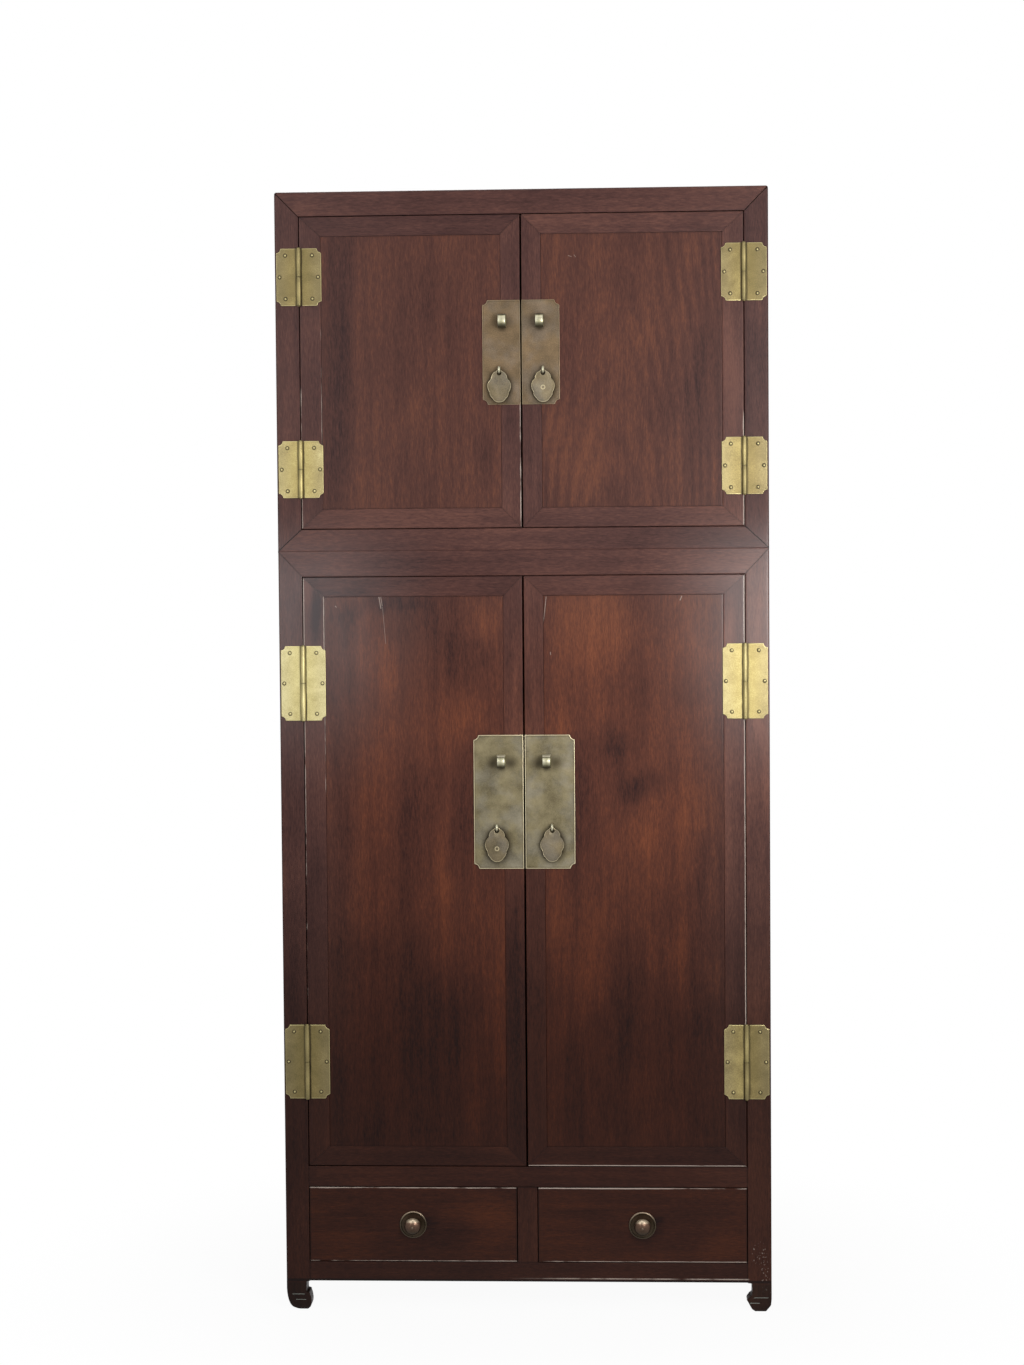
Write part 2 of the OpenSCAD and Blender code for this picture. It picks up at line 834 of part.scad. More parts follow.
module lower_side_panels() {
    color(wood_red) both_sides() boards(lower_side_boards);
}

module lower_back_panels() {
    color(wood_plain) boards(lower_back_boards);
}

module lower_floor() {
    color(wood_plain) boards(lower_floor_board);
}

// Shelf on two bearers that run from the front posts' inner faces to the given end
module shelf(z, bearer_end) {
    front = front_y + shelf_setback;
    block(-in_x + field_play, in_x - field_play, front, in_y1 + shelf_lap, z, z + shelf_t);
    both_sides()
        block(-in_x, -in_x + bearer_w, front, bearer_end, z - bearer_h - joint_gap,
            z - joint_gap);
}

module lower_shelf() {
    color(wood_plain) shelf(lower_shelf_z, in_y1);
}

module upper_shelf() {
    color(wood_plain) shelf(chest_sill_z + upper_shelf_rise, in_y1 + shelf_lap);
}

// Runners and guides under the drawers, and the kickers above them
module drawer_runners() {
    outer = -half_w + panel_recess + panel_t + field_play;
    mid = divider_w / 2;
    floor_z = sill_z - floor_t;
    color(wood_plain) {
        both_sides() {
            block(-in_x, -in_x + runner_ledge, in_y0, in_y1, base_z - runner_t, base_z);
            block(outer, -in_x - joint_gap, in_y0, in_y1, base_z, base_z + guide_h);
            block(-in_x, -in_x + runner_ledge, in_y0, in_y1, drawer_z, floor_z);
        }
        along_y(in_y0, in_y1) {
            rect([-mid - runner_ledge, base_z - runner_t], [mid + runner_ledge, base_z]);
            rect([-mid, base_z - over], [mid, base_z + guide_h]);
        }
        block(-mid - runner_ledge, mid + runner_ledge, in_y0, in_y1, drawer_z, floor_z);
    }
}

// Outline of a hinge leaf in (x, z) from the pin outwards. Beside the other leaf's
// knuckle, the leaf stands clear of the barrel
module leaf_outline(h, knuckle_low) {
    clear = barrel_r + knuckle_clear;
    half = (h - knuckle_gap) / 2;
    difference() {
        square([leaf_w, h]);
        translate([-over, knuckle_low ? half : -over])
            square([clear + over, h - half + over]);
        translate([leaf_w, 0]) circle(r = leaf_scoop);
        translate([leaf_w, h]) circle(r = leaf_scoop);
        for (n = nail_places(h)) translate(n) circle(r = nail_r + joint_gap / 2);
    }
}

// Domed nail whose head sits on y = 0 and whose shank points to +Y
module nail() {
    dome_r = (nail_head_r * nail_head_r + nail_head_h * nail_head_h) / (2 * nail_head_h);
    rotate([90, 0, 0])
        rotate_extrude() {
            intersection() {
                translate([0, nail_head_h - dome_r]) circle(r = dome_r);
                square([nail_head_r, nail_head_h]);
            }
            translate([0, -nail_l]) square([nail_r, nail_l + nail_head_h / 2]);
        }
}

// Leaf with its knuckle and three nails. The pin stands at the origin
module leaf(h, knuckle_low) {
    half = (h - knuckle_gap) / 2;
    z0 = knuckle_low ? 0 : h - half;
    difference() {
        union() {
            along_y(barrel_out - leaf_t, barrel_out) leaf_outline(h, knuckle_low);
            along_z(z0, z0 + half) circle(r = barrel_r);
        }
        along_z(z0 - over, z0 + half + over) circle(r = pin_r + pin_play);
    }
    for (n = nail_places(h))
        translate([n[0], barrel_out - leaf_t - joint_gap, n[1]]) nail();
}

// Leaves of the two hinges of a level on the left, as seen from the pin
module leaves(level, knuckle_low) {
    for (z = hinge_places(level))
        translate([axis_x, axis_y, z]) {
            if (knuckle_low) mirror([1, 0, 0]) leaf(level[HINGE_H], true);
            else leaf(level[HINGE_H], false);
        }
}

// Pins of the two hinges of a level on the left, with a button at each end
module pins(level) {
    low = -joint_gap;
    high = level[HINGE_H] + joint_gap;
    for (z = hinge_places(level))
        translate([axis_x, axis_y, z]) {
            along_z(low - pin_head_t, high + pin_head_t) circle(r = pin_r);
            along_z(low - pin_head_t, low) circle(r = pin_head_r);
            along_z(high, high + pin_head_t) circle(r = pin_head_r);
        }
}

module lower_fixed_hinge_leaves() {
    color(brass) both_sides() leaves(LOWER, true);
}

module upper_fixed_hinge_leaves() {
    color(brass) both_sides() leaves(UPPER, true);
}

module lower_hinge_pins() {
    color(brass) both_sides() pins(LOWER);
}

module upper_hinge_pins() {
    color(brass) both_sides() pins(UPPER);
}

module upper_posts() {
    color(wood_dark)
        difference() {
            intersection() {
                four_corners() {
                    mitred_post([lower_h, chest_sill_z], [top_z, chest_head_z]);
                    stub(lower_h + stub_cover, chest_sill_z + over, 0);
                    stub(chest_head_z - over, top_z - stub_cover, 0);
                }
                envelope(lower_h, top_z, seam_r, crown_r);
            }
            upper_grooves();
            both_sides() nail_holes(UPPER, -1);
        }
}

module upper_top_frame() {
    color(wood_dark)
        difference() {
            union() {
                intersection() {
                    mitred_frame(top_z, chest_head_z);
                    envelope(lower_h, top_z, seam_r, crown_r);
                }
                block(-in_x, in_x, front_y + door_t + door_gap / 2, in_y0,
                    chest_head_z - stop_h, chest_head_z + over);
            }
            four_corners() stub(chest_head_z - over, top_z - stub_cover, joint_gap);
            upper_grooves();
        }
}

module upper_base_frame() {
    color(wood_dark)
        difference() {
            union() {
                intersection() {
                    mitred_frame(lower_h, chest_sill_z);
                    envelope(lower_h, top_z, seam_r, crown_r);
                }
                block(-in_x, in_x, front_y + door_t + door_gap / 2, in_y0,
                    chest_sill_z - over, chest_sill_z + stop_h);
            }
            four_corners() stub(lower_h + stub_cover, chest_sill_z + over, joint_gap);
            upper_grooves();
        }
}

module upper_top_and_floor_boards() {
    color(wood_plain) boards(upper_flat_boards);
}

module upper_side_panels() {
    color(wood_red) both_sides() boards(upper_side_boards);
}

module upper_back_panel() {
    color(wood_plain) boards(upper_back_boards);
}

// Depth behind the face at which a staple's ends are bent over: behind the stile
// where the tang passes through it, and otherwise behind the panel
function clinch_depth(level) =
    level[STAPLE_X] < stile_edge ? door_t : door_recess + door_panel_t;

// Tang of a left staple, or the slot for it
module tang(level, play) {
    block(-level[STAPLE_X] - tang_w / 2 - play, -level[STAPLE_X] + tang_w / 2 + play,
        front_y - plate_t - over, front_y + clinch_depth(level) + over,
        level[STAPLE_Z] - tang_h / 2 - play, level[STAPLE_Z] + tang_h / 2 + play);
}

// Shank of a left pull eye, or the hole for it
module eye_shank(level, play) {
    translate([-level[PULL_X], front_y - plate_t - eye_wire_r, level[PULL_Z]])
        rotate([-90, 0, 0])
            cylinder(r = eye_shank_r + play,
                h = eye_wire_r + plate_t + door_recess + door_panel_t + over);
}

// Mitred frame of a left door
module door_frame(level) {
    e = door_edges(level);
    gap = joint_gap;
    hs = hinge_stile;
    ms = meeting_stile;
    color(wood_dark)
        difference() {
            along_y(front_y, front_y + door_t) {
                polygon([[e[0], e[2]], [e[0], e[3]], [e[0] + hs, e[3] - door_rail],
                    [e[0] + hs, e[2] + door_rail]]);
                polygon([[e[1], e[2]], [e[1], e[3]], [e[1] - ms, e[3] - door_rail],
                    [e[1] - ms, e[2] + door_rail]]);
                polygon([[e[0] + gap, e[3]], [e[1] - gap, e[3]],
                    [e[1] - ms - gap, e[3] - door_rail], [e[0] + hs + gap, e[3] - door_rail]]);
                polygon([[e[0] + gap, e[2]], [e[1] - gap, e[2]],
                    [e[1] - ms - gap, e[2] + door_rail], [e[0] + hs + gap, e[2] + door_rail]]);
            }
            grooves([door_board(level)]);
            nail_holes(level, 1);
            tang(level, joint_gap);
        }
}

// Dovetailed batten outline in (y, z) about its own middle, from the panel's back
module batten_outline(play) {
    half = batten_w / 2 + play;
    tip = half + batten_flare;
    polygon([[-batten_key - play, -tip], [0, -half], [batten_h, -half], [batten_h, half],
        [0, half], [-batten_key - play, tip]]);
}

// Middles of a door's battens
function batten_places(level) =
    let (row = door_board(level))
    [for (share = level[BATTENS]) row[1][1] + share * (row[2][1] - row[1][1])];

// Panel of a left door with the battens that keep it flat
module door_panel(level) {
    row = door_board(level);
    back = front_y + door_recess + door_panel_t;
    color(wood_red) {
        difference() {
            board(row);
            for (z = batten_places(level))
                along_x(row[1][0], row[2][0]) translate([back, z]) batten_outline(joint_gap);
            nail_holes(level, 1);
            tang(level, joint_gap);
            eye_shank(level, joint_gap);
        }
        for (z = batten_places(level))
            along_x(row[1][0] + field_play, row[2][0] - field_play)
                translate([back, z]) batten_outline(0);
    }
}

module door_leaves(level) {
    color(brass) leaves(level, false);
}

// Left lock plate with its outer corners scooped
module lock_plate(level) {
    x0 = -meeting_gap / 2 - level[PLATE_W];
    z0 = level[PLATE_Z] - level[PLATE_H] / 2;
    color(brass)
        difference() {
            along_y(front_y - plate_t, front_y)
                difference() {
                    rect([x0, z0], [-meeting_gap / 2, z0 + level[PLATE_H]]);
                    translate([x0, z0]) circle(r = plate_scoop);
                    translate([x0, z0 + level[PLATE_H]]) circle(r = plate_scoop);
                }
            tang(level, joint_gap);
            eye_shank(level, joint_gap);
        }
}

// Left staple: a strap round the padlock bar's hole, and a tang through the door
module lock_staple(level) {
    back = front_y + clinch_depth(level) + joint_gap;
    face = front_y - plate_t;
    x = -level[STAPLE_X];
    z = level[STAPLE_Z];
    color(brass)
        difference() {
            union() {
                along_x(x - staple_w / 2, x + staple_w / 2)
                    translate([face, z]) {
                        translate([-staple_out, 0]) circle(r = staple_r);
                        translate([-staple_out, -staple_neck_h / 2])
                            square([staple_out, staple_neck_h]);
                    }
                block(x - tang_w / 2, x + tang_w / 2, face - over, back + clinch_t,
                    z - tang_h / 2, z + tang_h / 2);
                block(x - tang_w / 2, x + tang_w / 2, back, back + clinch_t,
                    z - clinch_h / 2, z + clinch_h / 2);
            }
            along_x(x - staple_w / 2 - over, x + staple_w / 2 + over)
                translate([face - staple_out, z]) circle(r = staple_bore_r);
        }
}

// Left pull eye: a ring, and a shank whose ends are bent over behind the panel
module pull_eye(level) {
    ring_r = eye_open_r + eye_wire_r;
    face = front_y - plate_t;
    back = front_y + door_recess + door_panel_t + joint_gap;
    color(brass) {
        translate([-level[PULL_X], face - ring_r - eye_wire_r, level[PULL_Z]])
            rotate([0, 90, 0])
                rotate_extrude()
                    translate([ring_r, 0]) circle(r = eye_wire_r);
        eye_shank(level, 0);
        block(-level[PULL_X] - eye_shank_r, -level[PULL_X] + eye_shank_r, back,
            back + clinch_t, level[PULL_Z] - eye_clinch_h / 2,
            level[PULL_Z] + eye_clinch_h / 2);
    }
}

// Height of a drop's swing axis, in the middle of the bridge above its hole
function swing_z(level) = level[PULL_Z] - eye_open_r + drop_seat_gap + drop_bridge / 2;

// Left drop: a lobed leaf that hangs by its hole on the eye
module pull_drop(level) {
    y = front_y - plate_t - eye_open_r - 2 * eye_wire_r;
    side = drop_side(level[DROP_L]);
    other_side = [for (i = [len(side) - 2 : -1 : 1]) [-side[i][0], side[i][1]]];
    color(brass)
        along_y(y - drop_t / 2, y + drop_t / 2)
            translate([-level[PULL_X], swing_z(level) + drop_bridge / 2])
                difference() {
                    polygon(concat(side, other_side));
                    translate([0, -drop_bridge - drop_hole_r]) circle(r = drop_hole_r);
                }
}

// Edges of the left drawer as x0, x1, z0, z1, and the ends of its sides
drawer_x0 = -in_x + drawer_gap;
drawer_x1 = -divider_w / 2 - drawer_gap;
drawer_z0 = base_z + drawer_gap;
drawer_z1 = drawer_z - drawer_gap;
drawer_back = in_y1 - drawer_back_gap;
drawer_side_z = base_z + runner_gap;
drawer_bottom_z = drawer_side_z + bottom_rise;
front_back_y = front_y + front_t;
knob_x = (drawer_x0 + drawer_x1) / 2;
knob_z = (base_z + drawer_z) / 2;

// Dovetails of a drawer side in (y, z), or the sockets for them. Short necks carry
// them across the joint line behind the front
module tails(play) {
    pitch = (drawer_z1 - drawer_z0) / tail_n;
    root = pitch * tail_root / 2 + play;
    tip = pitch * tail_tip / 2 + play;
    for (i = [0 : tail_n - 1])
        translate([front_back_y, drawer_z0 + pitch * (i + 0.5)])
            polygon([[-tail_l - play, -tip], [0, -root], [over, -root], [over, root], [0, root],
                [-tail_l - play, tip]]);
}

// Outer and inner faces of the left drawer's two sides
drawer_sides = [[drawer_x0, drawer_x0 + side_t], [drawer_x1 - side_t, drawer_x1]];

// Bottom of the left drawer, or the grooves for it
module drawer_bottom_form(play) {
    inner0 = drawer_sides[0][1];
    inner1 = drawer_sides[1][0];
    block(inner0 - bottom_key - play, inner1 + bottom_key + play, front_back_y + joint_gap - play,
        drawer_back + play, drawer_bottom_z - play, drawer_bottom_z + bottom_t + play);
    block(inner0 + joint_gap - play, inner1 - joint_gap + play, front_back_y - bottom_key - play,
        front_back_y + over, drawer_bottom_z - play, drawer_bottom_z + bottom_t + play);
}

// Turns a half section about the middle of the left drawer's face, its axis to -Y
module on_drawer_face() {
    translate([knob_x, front_y, knob_z])
        rotate([90, 0, 0])
            rotate_extrude()
                children();
}

module drawer_front() {
    color(wood_red)
        difference() {
            block(drawer_x0, drawer_x1, front_y, front_back_y, drawer_z0, drawer_z1);
            for (s = drawer_sides)
                along_x(s[0] - joint_gap, s[1] + joint_gap) tails(joint_gap);
            drawer_bottom_form(joint_gap);
            translate([knob_x, front_y - over, knob_z])
                rotate([-90, 0, 0])
                    cylinder(r = knob_shank_r + joint_gap / 2, h = knob_shank_l + over);
        }
}

module drawer_box() {
    color(wood_plain) {
        difference() {
            for (s = drawer_sides) {
                block(s[0], s[1], front_back_y + joint_gap, drawer_back, drawer_side_z, drawer_z1);
                along_x(s[0], s[1]) tails(0);
            }
            drawer_bottom_form(joint_gap);
        }
        block(drawer_sides[0][1] + joint_gap, drawer_sides[1][0] - joint_gap,
            drawer_back - side_t, drawer_back, drawer_bottom_z + bottom_t + joint_gap, drawer_z1);
    }
}

module drawer_bottom() {
    color(wood_plain) drawer_bottom_form(0);
}

// Dished rose with a rounded rim
module drawer_rose() {
    half = rose_rim_w / 2;
    color(bronze)
        on_drawer_face()
            difference() {
                union() {
                    square([rose_r - half, rose_dish_t]);
                    translate([rose_r - rose_rim_w, 0]) square([rose_rim_w, rose_t - half]);
                    translate([rose_r - half, rose_t - half]) circle(r = half);
                }
                translate([-over, -over])
                    square([knob_shank_r + joint_gap + over, rose_t + 2 * over]);
                translate([0, -rose_t]) square([rose_r, rose_t]);
            }
}

// Knob: shank, collar, neck, head and nipple
module drawer_knob() {
    seat = rose_dish_t + joint_gap;
    head_mid = knob_l - nipple_out - knob_front_h;
    color(bronze)
        on_drawer_face() {
            translate([0, -knob_shank_l]) square([knob_shank_r, knob_shank_l + seat + over]);
            translate([0, seat]) square([collar_r, collar_t]);
            translate([0, seat]) square([knob_neck_r, head_mid - seat]);
            translate([0, head_mid]) knob_head();
            intersection() {
                translate([0, knob_l - nipple_r]) circle(r = nipple_r);
                square([knob_r, knob_l]);
            }
        }
}

// Half section of the knob's head, a flattened ball, rounder in front than behind
module knob_head() {
    last = 70;
    polygon(concat(
        [[0, -knob_back_h * sin(last)]],
        [for (a = [-last : 10 : 80]) [knob_r * cos(a), (a < 0 ? knob_back_h : knob_front_h) * sin(a)]],
        [[0, knob_front_h]]
    ));
}

// A left-hand shape turned into the right-hand one
module right() {
    mirror([1, 0, 0]) children();
}

lower_posts();
lower_top_frame();
lower_top_board();
lower_front_rails();
lower_side_rails();
lower_back_rails();
lower_side_panels();
lower_back_panels();
lower_floor();
lower_shelf();
drawer_runners();
lower_fixed_hinge_leaves();
lower_hinge_pins();
upper_posts();
upper_top_frame();
upper_base_frame();
upper_top_and_floor_boards();
upper_side_panels();
upper_back_panel();
upper_shelf();
upper_fixed_hinge_leaves();
upper_hinge_pins();
door_frame(UPPER);  // upper_left_door_frame
door_panel(UPPER);  // upper_left_door_panel
door_leaves(UPPER);  // upper_left_door_leaves
lock_plate(UPPER);  // upper_left_lock_plate
lock_staple(UPPER);  // upper_left_lock_staple
pull_eye(UPPER);  // upper_left_pull_eye
pull_drop(UPPER);  // upper_left_pull_drop
right() door_frame(UPPER);  // upper_right_door_frame
right() door_panel(UPPER);  // upper_right_door_panel
right() door_leaves(UPPER);  // upper_right_door_leaves
right() lock_plate(UPPER);  // upper_right_lock_plate
right() lock_staple(UPPER);  // upper_right_lock_staple
right() pull_eye(UPPER);  // upper_right_pull_eye
right() pull_drop(UPPER);  // upper_right_pull_drop
door_frame(LOWER);  // lower_left_door_frame
door_panel(LOWER);  // lower_left_door_panel
door_leaves(LOWER);  // lower_left_door_leaves
lock_plate(LOWER);  // lower_left_lock_plate
lock_staple(LOWER);  // lower_left_lock_staple
pull_eye(LOWER);  // lower_left_pull_eye
pull_drop(LOWER);  // lower_left_pull_drop
right() door_frame(LOWER);  // lower_right_door_frame
right() door_panel(LOWER);  // lower_right_door_panel
right() door_leaves(LOWER);  // lower_right_door_leaves
right() lock_plate(LOWER);  // lower_right_lock_plate
right() lock_staple(LOWER);  // lower_right_lock_staple
right() pull_eye(LOWER);  // lower_right_pull_eye
right() pull_drop(LOWER);  // lower_right_pull_drop
drawer_front();  // left_drawer_front
drawer_box();  // left_drawer_box
drawer_bottom();  // left_drawer_bottom
drawer_rose();  // left_drawer_rose
drawer_knob();  // left_drawer_knob
right() drawer_front();  // right_drawer_front
right() drawer_box();  // right_drawer_box
right() drawer_bottom();  // right_drawer_bottom
right() drawer_rose();  // right_drawer_rose
right() drawer_knob();  // right_drawer_knob
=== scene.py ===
"""Dresses the packed cabinet: posts, rails and doors with figured grain and with arrises
painted pale, for rubbing and as painted highlight; old brass, and a plain studio. Lengths
are in metres. +Z is up and the doors face -Y, as in the packed model, whose boxes give
every piece its place."""

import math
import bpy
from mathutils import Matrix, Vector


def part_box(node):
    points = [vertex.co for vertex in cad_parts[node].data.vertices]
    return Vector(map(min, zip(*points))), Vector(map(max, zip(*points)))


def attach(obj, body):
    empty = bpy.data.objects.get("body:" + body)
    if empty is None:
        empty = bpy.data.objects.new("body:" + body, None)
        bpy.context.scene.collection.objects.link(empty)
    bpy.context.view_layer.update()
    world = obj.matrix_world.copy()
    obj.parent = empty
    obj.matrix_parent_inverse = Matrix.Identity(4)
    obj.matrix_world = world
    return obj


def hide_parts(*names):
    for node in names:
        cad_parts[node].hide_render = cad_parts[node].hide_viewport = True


bl_info = {
    "name": "Compound Cabinet",
    "version": (1, 0, 0),
    "blender": (4, 5, 0),
    "location": "View3D > Sidebar > Cabinet",
    "description": "Builds the wood, the brass and the studio of a two-part cabinet",
    "category": "Object",
}

import bmesh
import bpy
import numpy as np
from mathutils import Matrix, Vector

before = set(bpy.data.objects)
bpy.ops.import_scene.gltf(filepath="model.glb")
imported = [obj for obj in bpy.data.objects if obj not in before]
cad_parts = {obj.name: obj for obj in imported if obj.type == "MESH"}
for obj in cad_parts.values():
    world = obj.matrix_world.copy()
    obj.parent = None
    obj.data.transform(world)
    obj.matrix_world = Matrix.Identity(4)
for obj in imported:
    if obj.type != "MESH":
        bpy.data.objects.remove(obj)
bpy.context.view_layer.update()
LEVELS = ("upper", "lower")
SIDES = ("left", "right")
LEAVES = [f"{level}_{side}" for level in LEVELS for side in SIDES]


# Settings


def length(name, description, default):
    """A length of the cabinet that a user may change."""
    return bpy.props.FloatProperty(
        name=name, description=description, default=default, min=0.0,
        precision=4, unit="LENGTH", subtype="DISTANCE")


def colour(name, description, default):
    """A colour of one of the cabinet's finishes."""
    return bpy.props.FloatVectorProperty(
        name=name, description=description, default=default, min=0.0, max=1.0,
        size=3, subtype="COLOR")


class CaseSizes(bpy.types.PropertyGroup):
    """Sizes of the posts, rails and frames"""

    post: length("Post", "Side of the square posts", 0.045)
    top_rail: length("Cabinet top frame", "Height of the cabinet's top frame", 0.048)
    sill_rail: length("Sill rail", "Height of the rail under the tall doors", 0.039)
    base_rail: length("Base rail", "Height of the rail under the drawers", 0.038)
    leg: length("Leg", "Clear height under the base rail", 0.055)
    hoof_corner: length("Hoof corner", "Cut across the inner corner of a hoof", 0.015)
    sole_in: length("Sole setback", "Setback of the soles from the front and back", 0.004)
    divider: length("Divider", "Width of the upright between the drawers", 0.038)
    drawer_opening: length("Drawer opening", "Height of the drawer openings", 0.146)
    chest_top: length("Chest top frame", "Height of the chest's top frame", 0.046)
    chest_base: length("Chest base frame", "Height of the chest's base frame", 0.041)
    back_rail: length("Back rail", "Height of the rail across the back", 0.038)
    back_rail_rise: length("Back rail rise", "Height of its top above the sill", 0.556)
    lip: length("Lip", "Height of the lips that stop the doors", 0.006)
    lip_setback: length("Lip setback", "Depth of the lips behind the posts' faces", 0.0248)
    arris: length("Arris", "Radius of the upright outer arrises", 0.003)
    crown: length("Crown", "Radius of the arrises round the chest's top", 0.005)
    eased: length("Eased edge", "Radius of all the other edges", 0.0009)
    joint: length("Joint line", "Half the gap of a joint line", 0.00006)


class DoorSizes(bpy.types.PropertyGroup):
    """Sizes of the doors and drawers"""

    hinge_stile: length("Hinge stile", "Width of the stiles at the hinges", 0.040)
    meeting_stile: length("Meeting stile", "Width of the stiles where doors meet", 0.0365)
    rail: length("Door rail", "Height of the door rails", 0.037)
    thickness: length("Door thickness", "Thickness of the doors", 0.024)
    panel: length("Panel thickness", "Thickness of the door panels", 0.011)
    recess: length("Panel recess", "Depth of a panel behind its frame", 0.0008)
    play: length("Panel play", "Gap between a panel and its frame", 0.0004)
    batten: length("Batten width", "Width of the battens behind a panel", 0.030)
    batten_height: length("Batten height", "Height of the battens", 0.010)
    eased: length("Door edge", "Radius of the doors' outer edges", 0.0013)


class BrassSizes(bpy.types.PropertyGroup):
    """Sizes of the brass"""

    leaf_scoop: length("Leaf scoop", "Radius of the leaves' corner cuts", 0.008)
    plate_scoop: length("Plate scoop", "Radius of the lock plates' corner cuts", 0.009)
    shoulder: length("Shoulder", "Radius of the shoulders beside a corner cut", 0.0016)
    rim: length("Rim", "Width of the bevelled rims of the lock plates", 0.0018)
    nail_head: length("Nail head", "Radius of the nail heads", 0.003)
    barrel: length("Barrel", "Radius of the rolled barrels", 0.0045)
    leaf: length("Leaf", "Thickness of the hinge leaves", 0.002)
    knuckle_clear: length("Knuckle room", "Gap between a leaf and a knuckle", 0.0006)
    knuckle_gap: length("Knuckle gap", "Gap between two knuckles", 0.0004)
    pin: length("Pin", "Radius of the hinge pins", 0.0022)
    pin_head: length("Pin button", "Radius of the buttons of the pins", 0.0034)
    button: length("Button end", "Reach of a button past a knuckle", 0.0013)
    staple: length("Staple", "Outer radius of the lock staples", 0.0128)
    staple_bore: length("Staple hole", "Radius of the padlock holes", 0.0096)
    staple_neck: length("Staple neck", "Height of a staple at its plate", 0.024)
    clinch: length("Clinch", "Thickness of the ends bent over behind a door", 0.0018)
    eye_wire: length("Eye wire", "Radius of the wire of the eyes", 0.0025)
    eye_opening: length("Eye opening", "Radius of the openings of the eyes", 0.0022)
    eye_shank: length("Eye shank", "Radius of the shanks of the eyes", 0.0015)
    drop_width: length("Drop width", "Width between the drops' widest lobes", 0.0445)
    drop_hole: length("Drop hole", "Radius of the holes of the drops", 0.0046)
    drop_bridge: length("Drop bridge", "Metal above the hole of a drop", 0.0022)
    rose: length("Rose", "Radius of the roses", 0.026)
    rose_height: length("Rose height", "Height of the rose rims", 0.0035)
    rose_rim: length("Rose rim", "Width of the rose rims", 0.0032)
    rose_dish: length("Rose dish", "Thickness of the roses inside their rims", 0.0014)
    knob: length("Knob", "Radius of the knobs", 0.016)
    knob_front: length("Knob front", "Depth of the front half of a head", 0.0115)
    knob_back: length("Knob back", "Depth of the back half of a head", 0.0086)
    knob_length: length("Knob length", "Reach of the knobs from the drawers", 0.030)
    nipple: length("Nipple", "Radius of the nipples on the knobs", 0.0026)
    nipple_out: length("Nipple reach", "Reach of a nipple from its knob", 0.0018)


class WoodColours(bpy.types.PropertyGroup):
    """Colours of the wood"""

    deep: colour("Deep", "Darkest streaks", (0.020, 0.009, 0.010))
    dark: colour("Dark", "Ground colour of posts and rails", (0.077, 0.034, 0.029))
    dark_light: colour("Dark, light", "Lightest streaks of posts and rails", (0.160, 0.070, 0.052))
    red: colour("Red", "Ground colour of the panels", (0.083, 0.033, 0.025))
    warm: colour("Warm", "Lightest figure of the panels", (0.180, 0.066, 0.036))
    plain: colour("Plain", "Ground colour of the plain wood inside", (0.170, 0.095, 0.055))
    plain_light: colour("Plain, light", "Lightest streaks of that wood", (0.280, 0.170, 0.100))
    # Painted shade: a tint that darkens the wood towards the floor, in place of the light falling
    # off there
    floor_shade: colour("Dusk", "Tint of the darkened wood near the floor", (0.40, 0.325, 0.265))
    # Pale colour of rubbed edges and scratches, also used as a painted highlight along edges that
    # catch the light
    worn: colour("Worn", "Bare wood on the worn edges", (0.46, 0.38, 0.33))


class BrassColours(bpy.types.PropertyGroup):
    """Colours of the brass and bronze"""

    # Also the colour of the painted shade on the brass
    patina_and_shade: colour("Patina", "Dark film in hollows and along edges", (0.030, 0.022, 0.011))
    olive: colour("Olive", "Darkest brass", (0.100, 0.081, 0.029))
    dull: colour("Dull", "Dulled brass", (0.190, 0.146, 0.058))
    gold: colour("Gold", "Clean brass", (0.370, 0.300, 0.118))
    pale: colour("Pale", "Polished brass and rubbed rims", (0.620, 0.550, 0.270))
    brown: colour("Brown", "Browned parts of the lock plates", (0.185, 0.125, 0.068))
    green: colour("Green", "Greener parts of the lock plates", (0.190, 0.160, 0.090))
    bronze: colour("Bronze", "Drawer knobs and roses", (0.150, 0.085, 0.055))
    copper: colour("Copper", "Rubbed faces of the knobs", (0.420, 0.190, 0.095))


GROUPS = (
    ("cabinet_case", CaseSizes),
    ("cabinet_doors", DoorSizes),
    ("cabinet_brass", BrassSizes),
    ("cabinet_wood", WoodColours),
    ("cabinet_metal", BrassColours),
)


# Meshes


MERGE = 1e-7  # points nearer than this are one
SHARP = math.radians(38)  # edges that turn by more than this stay crisp


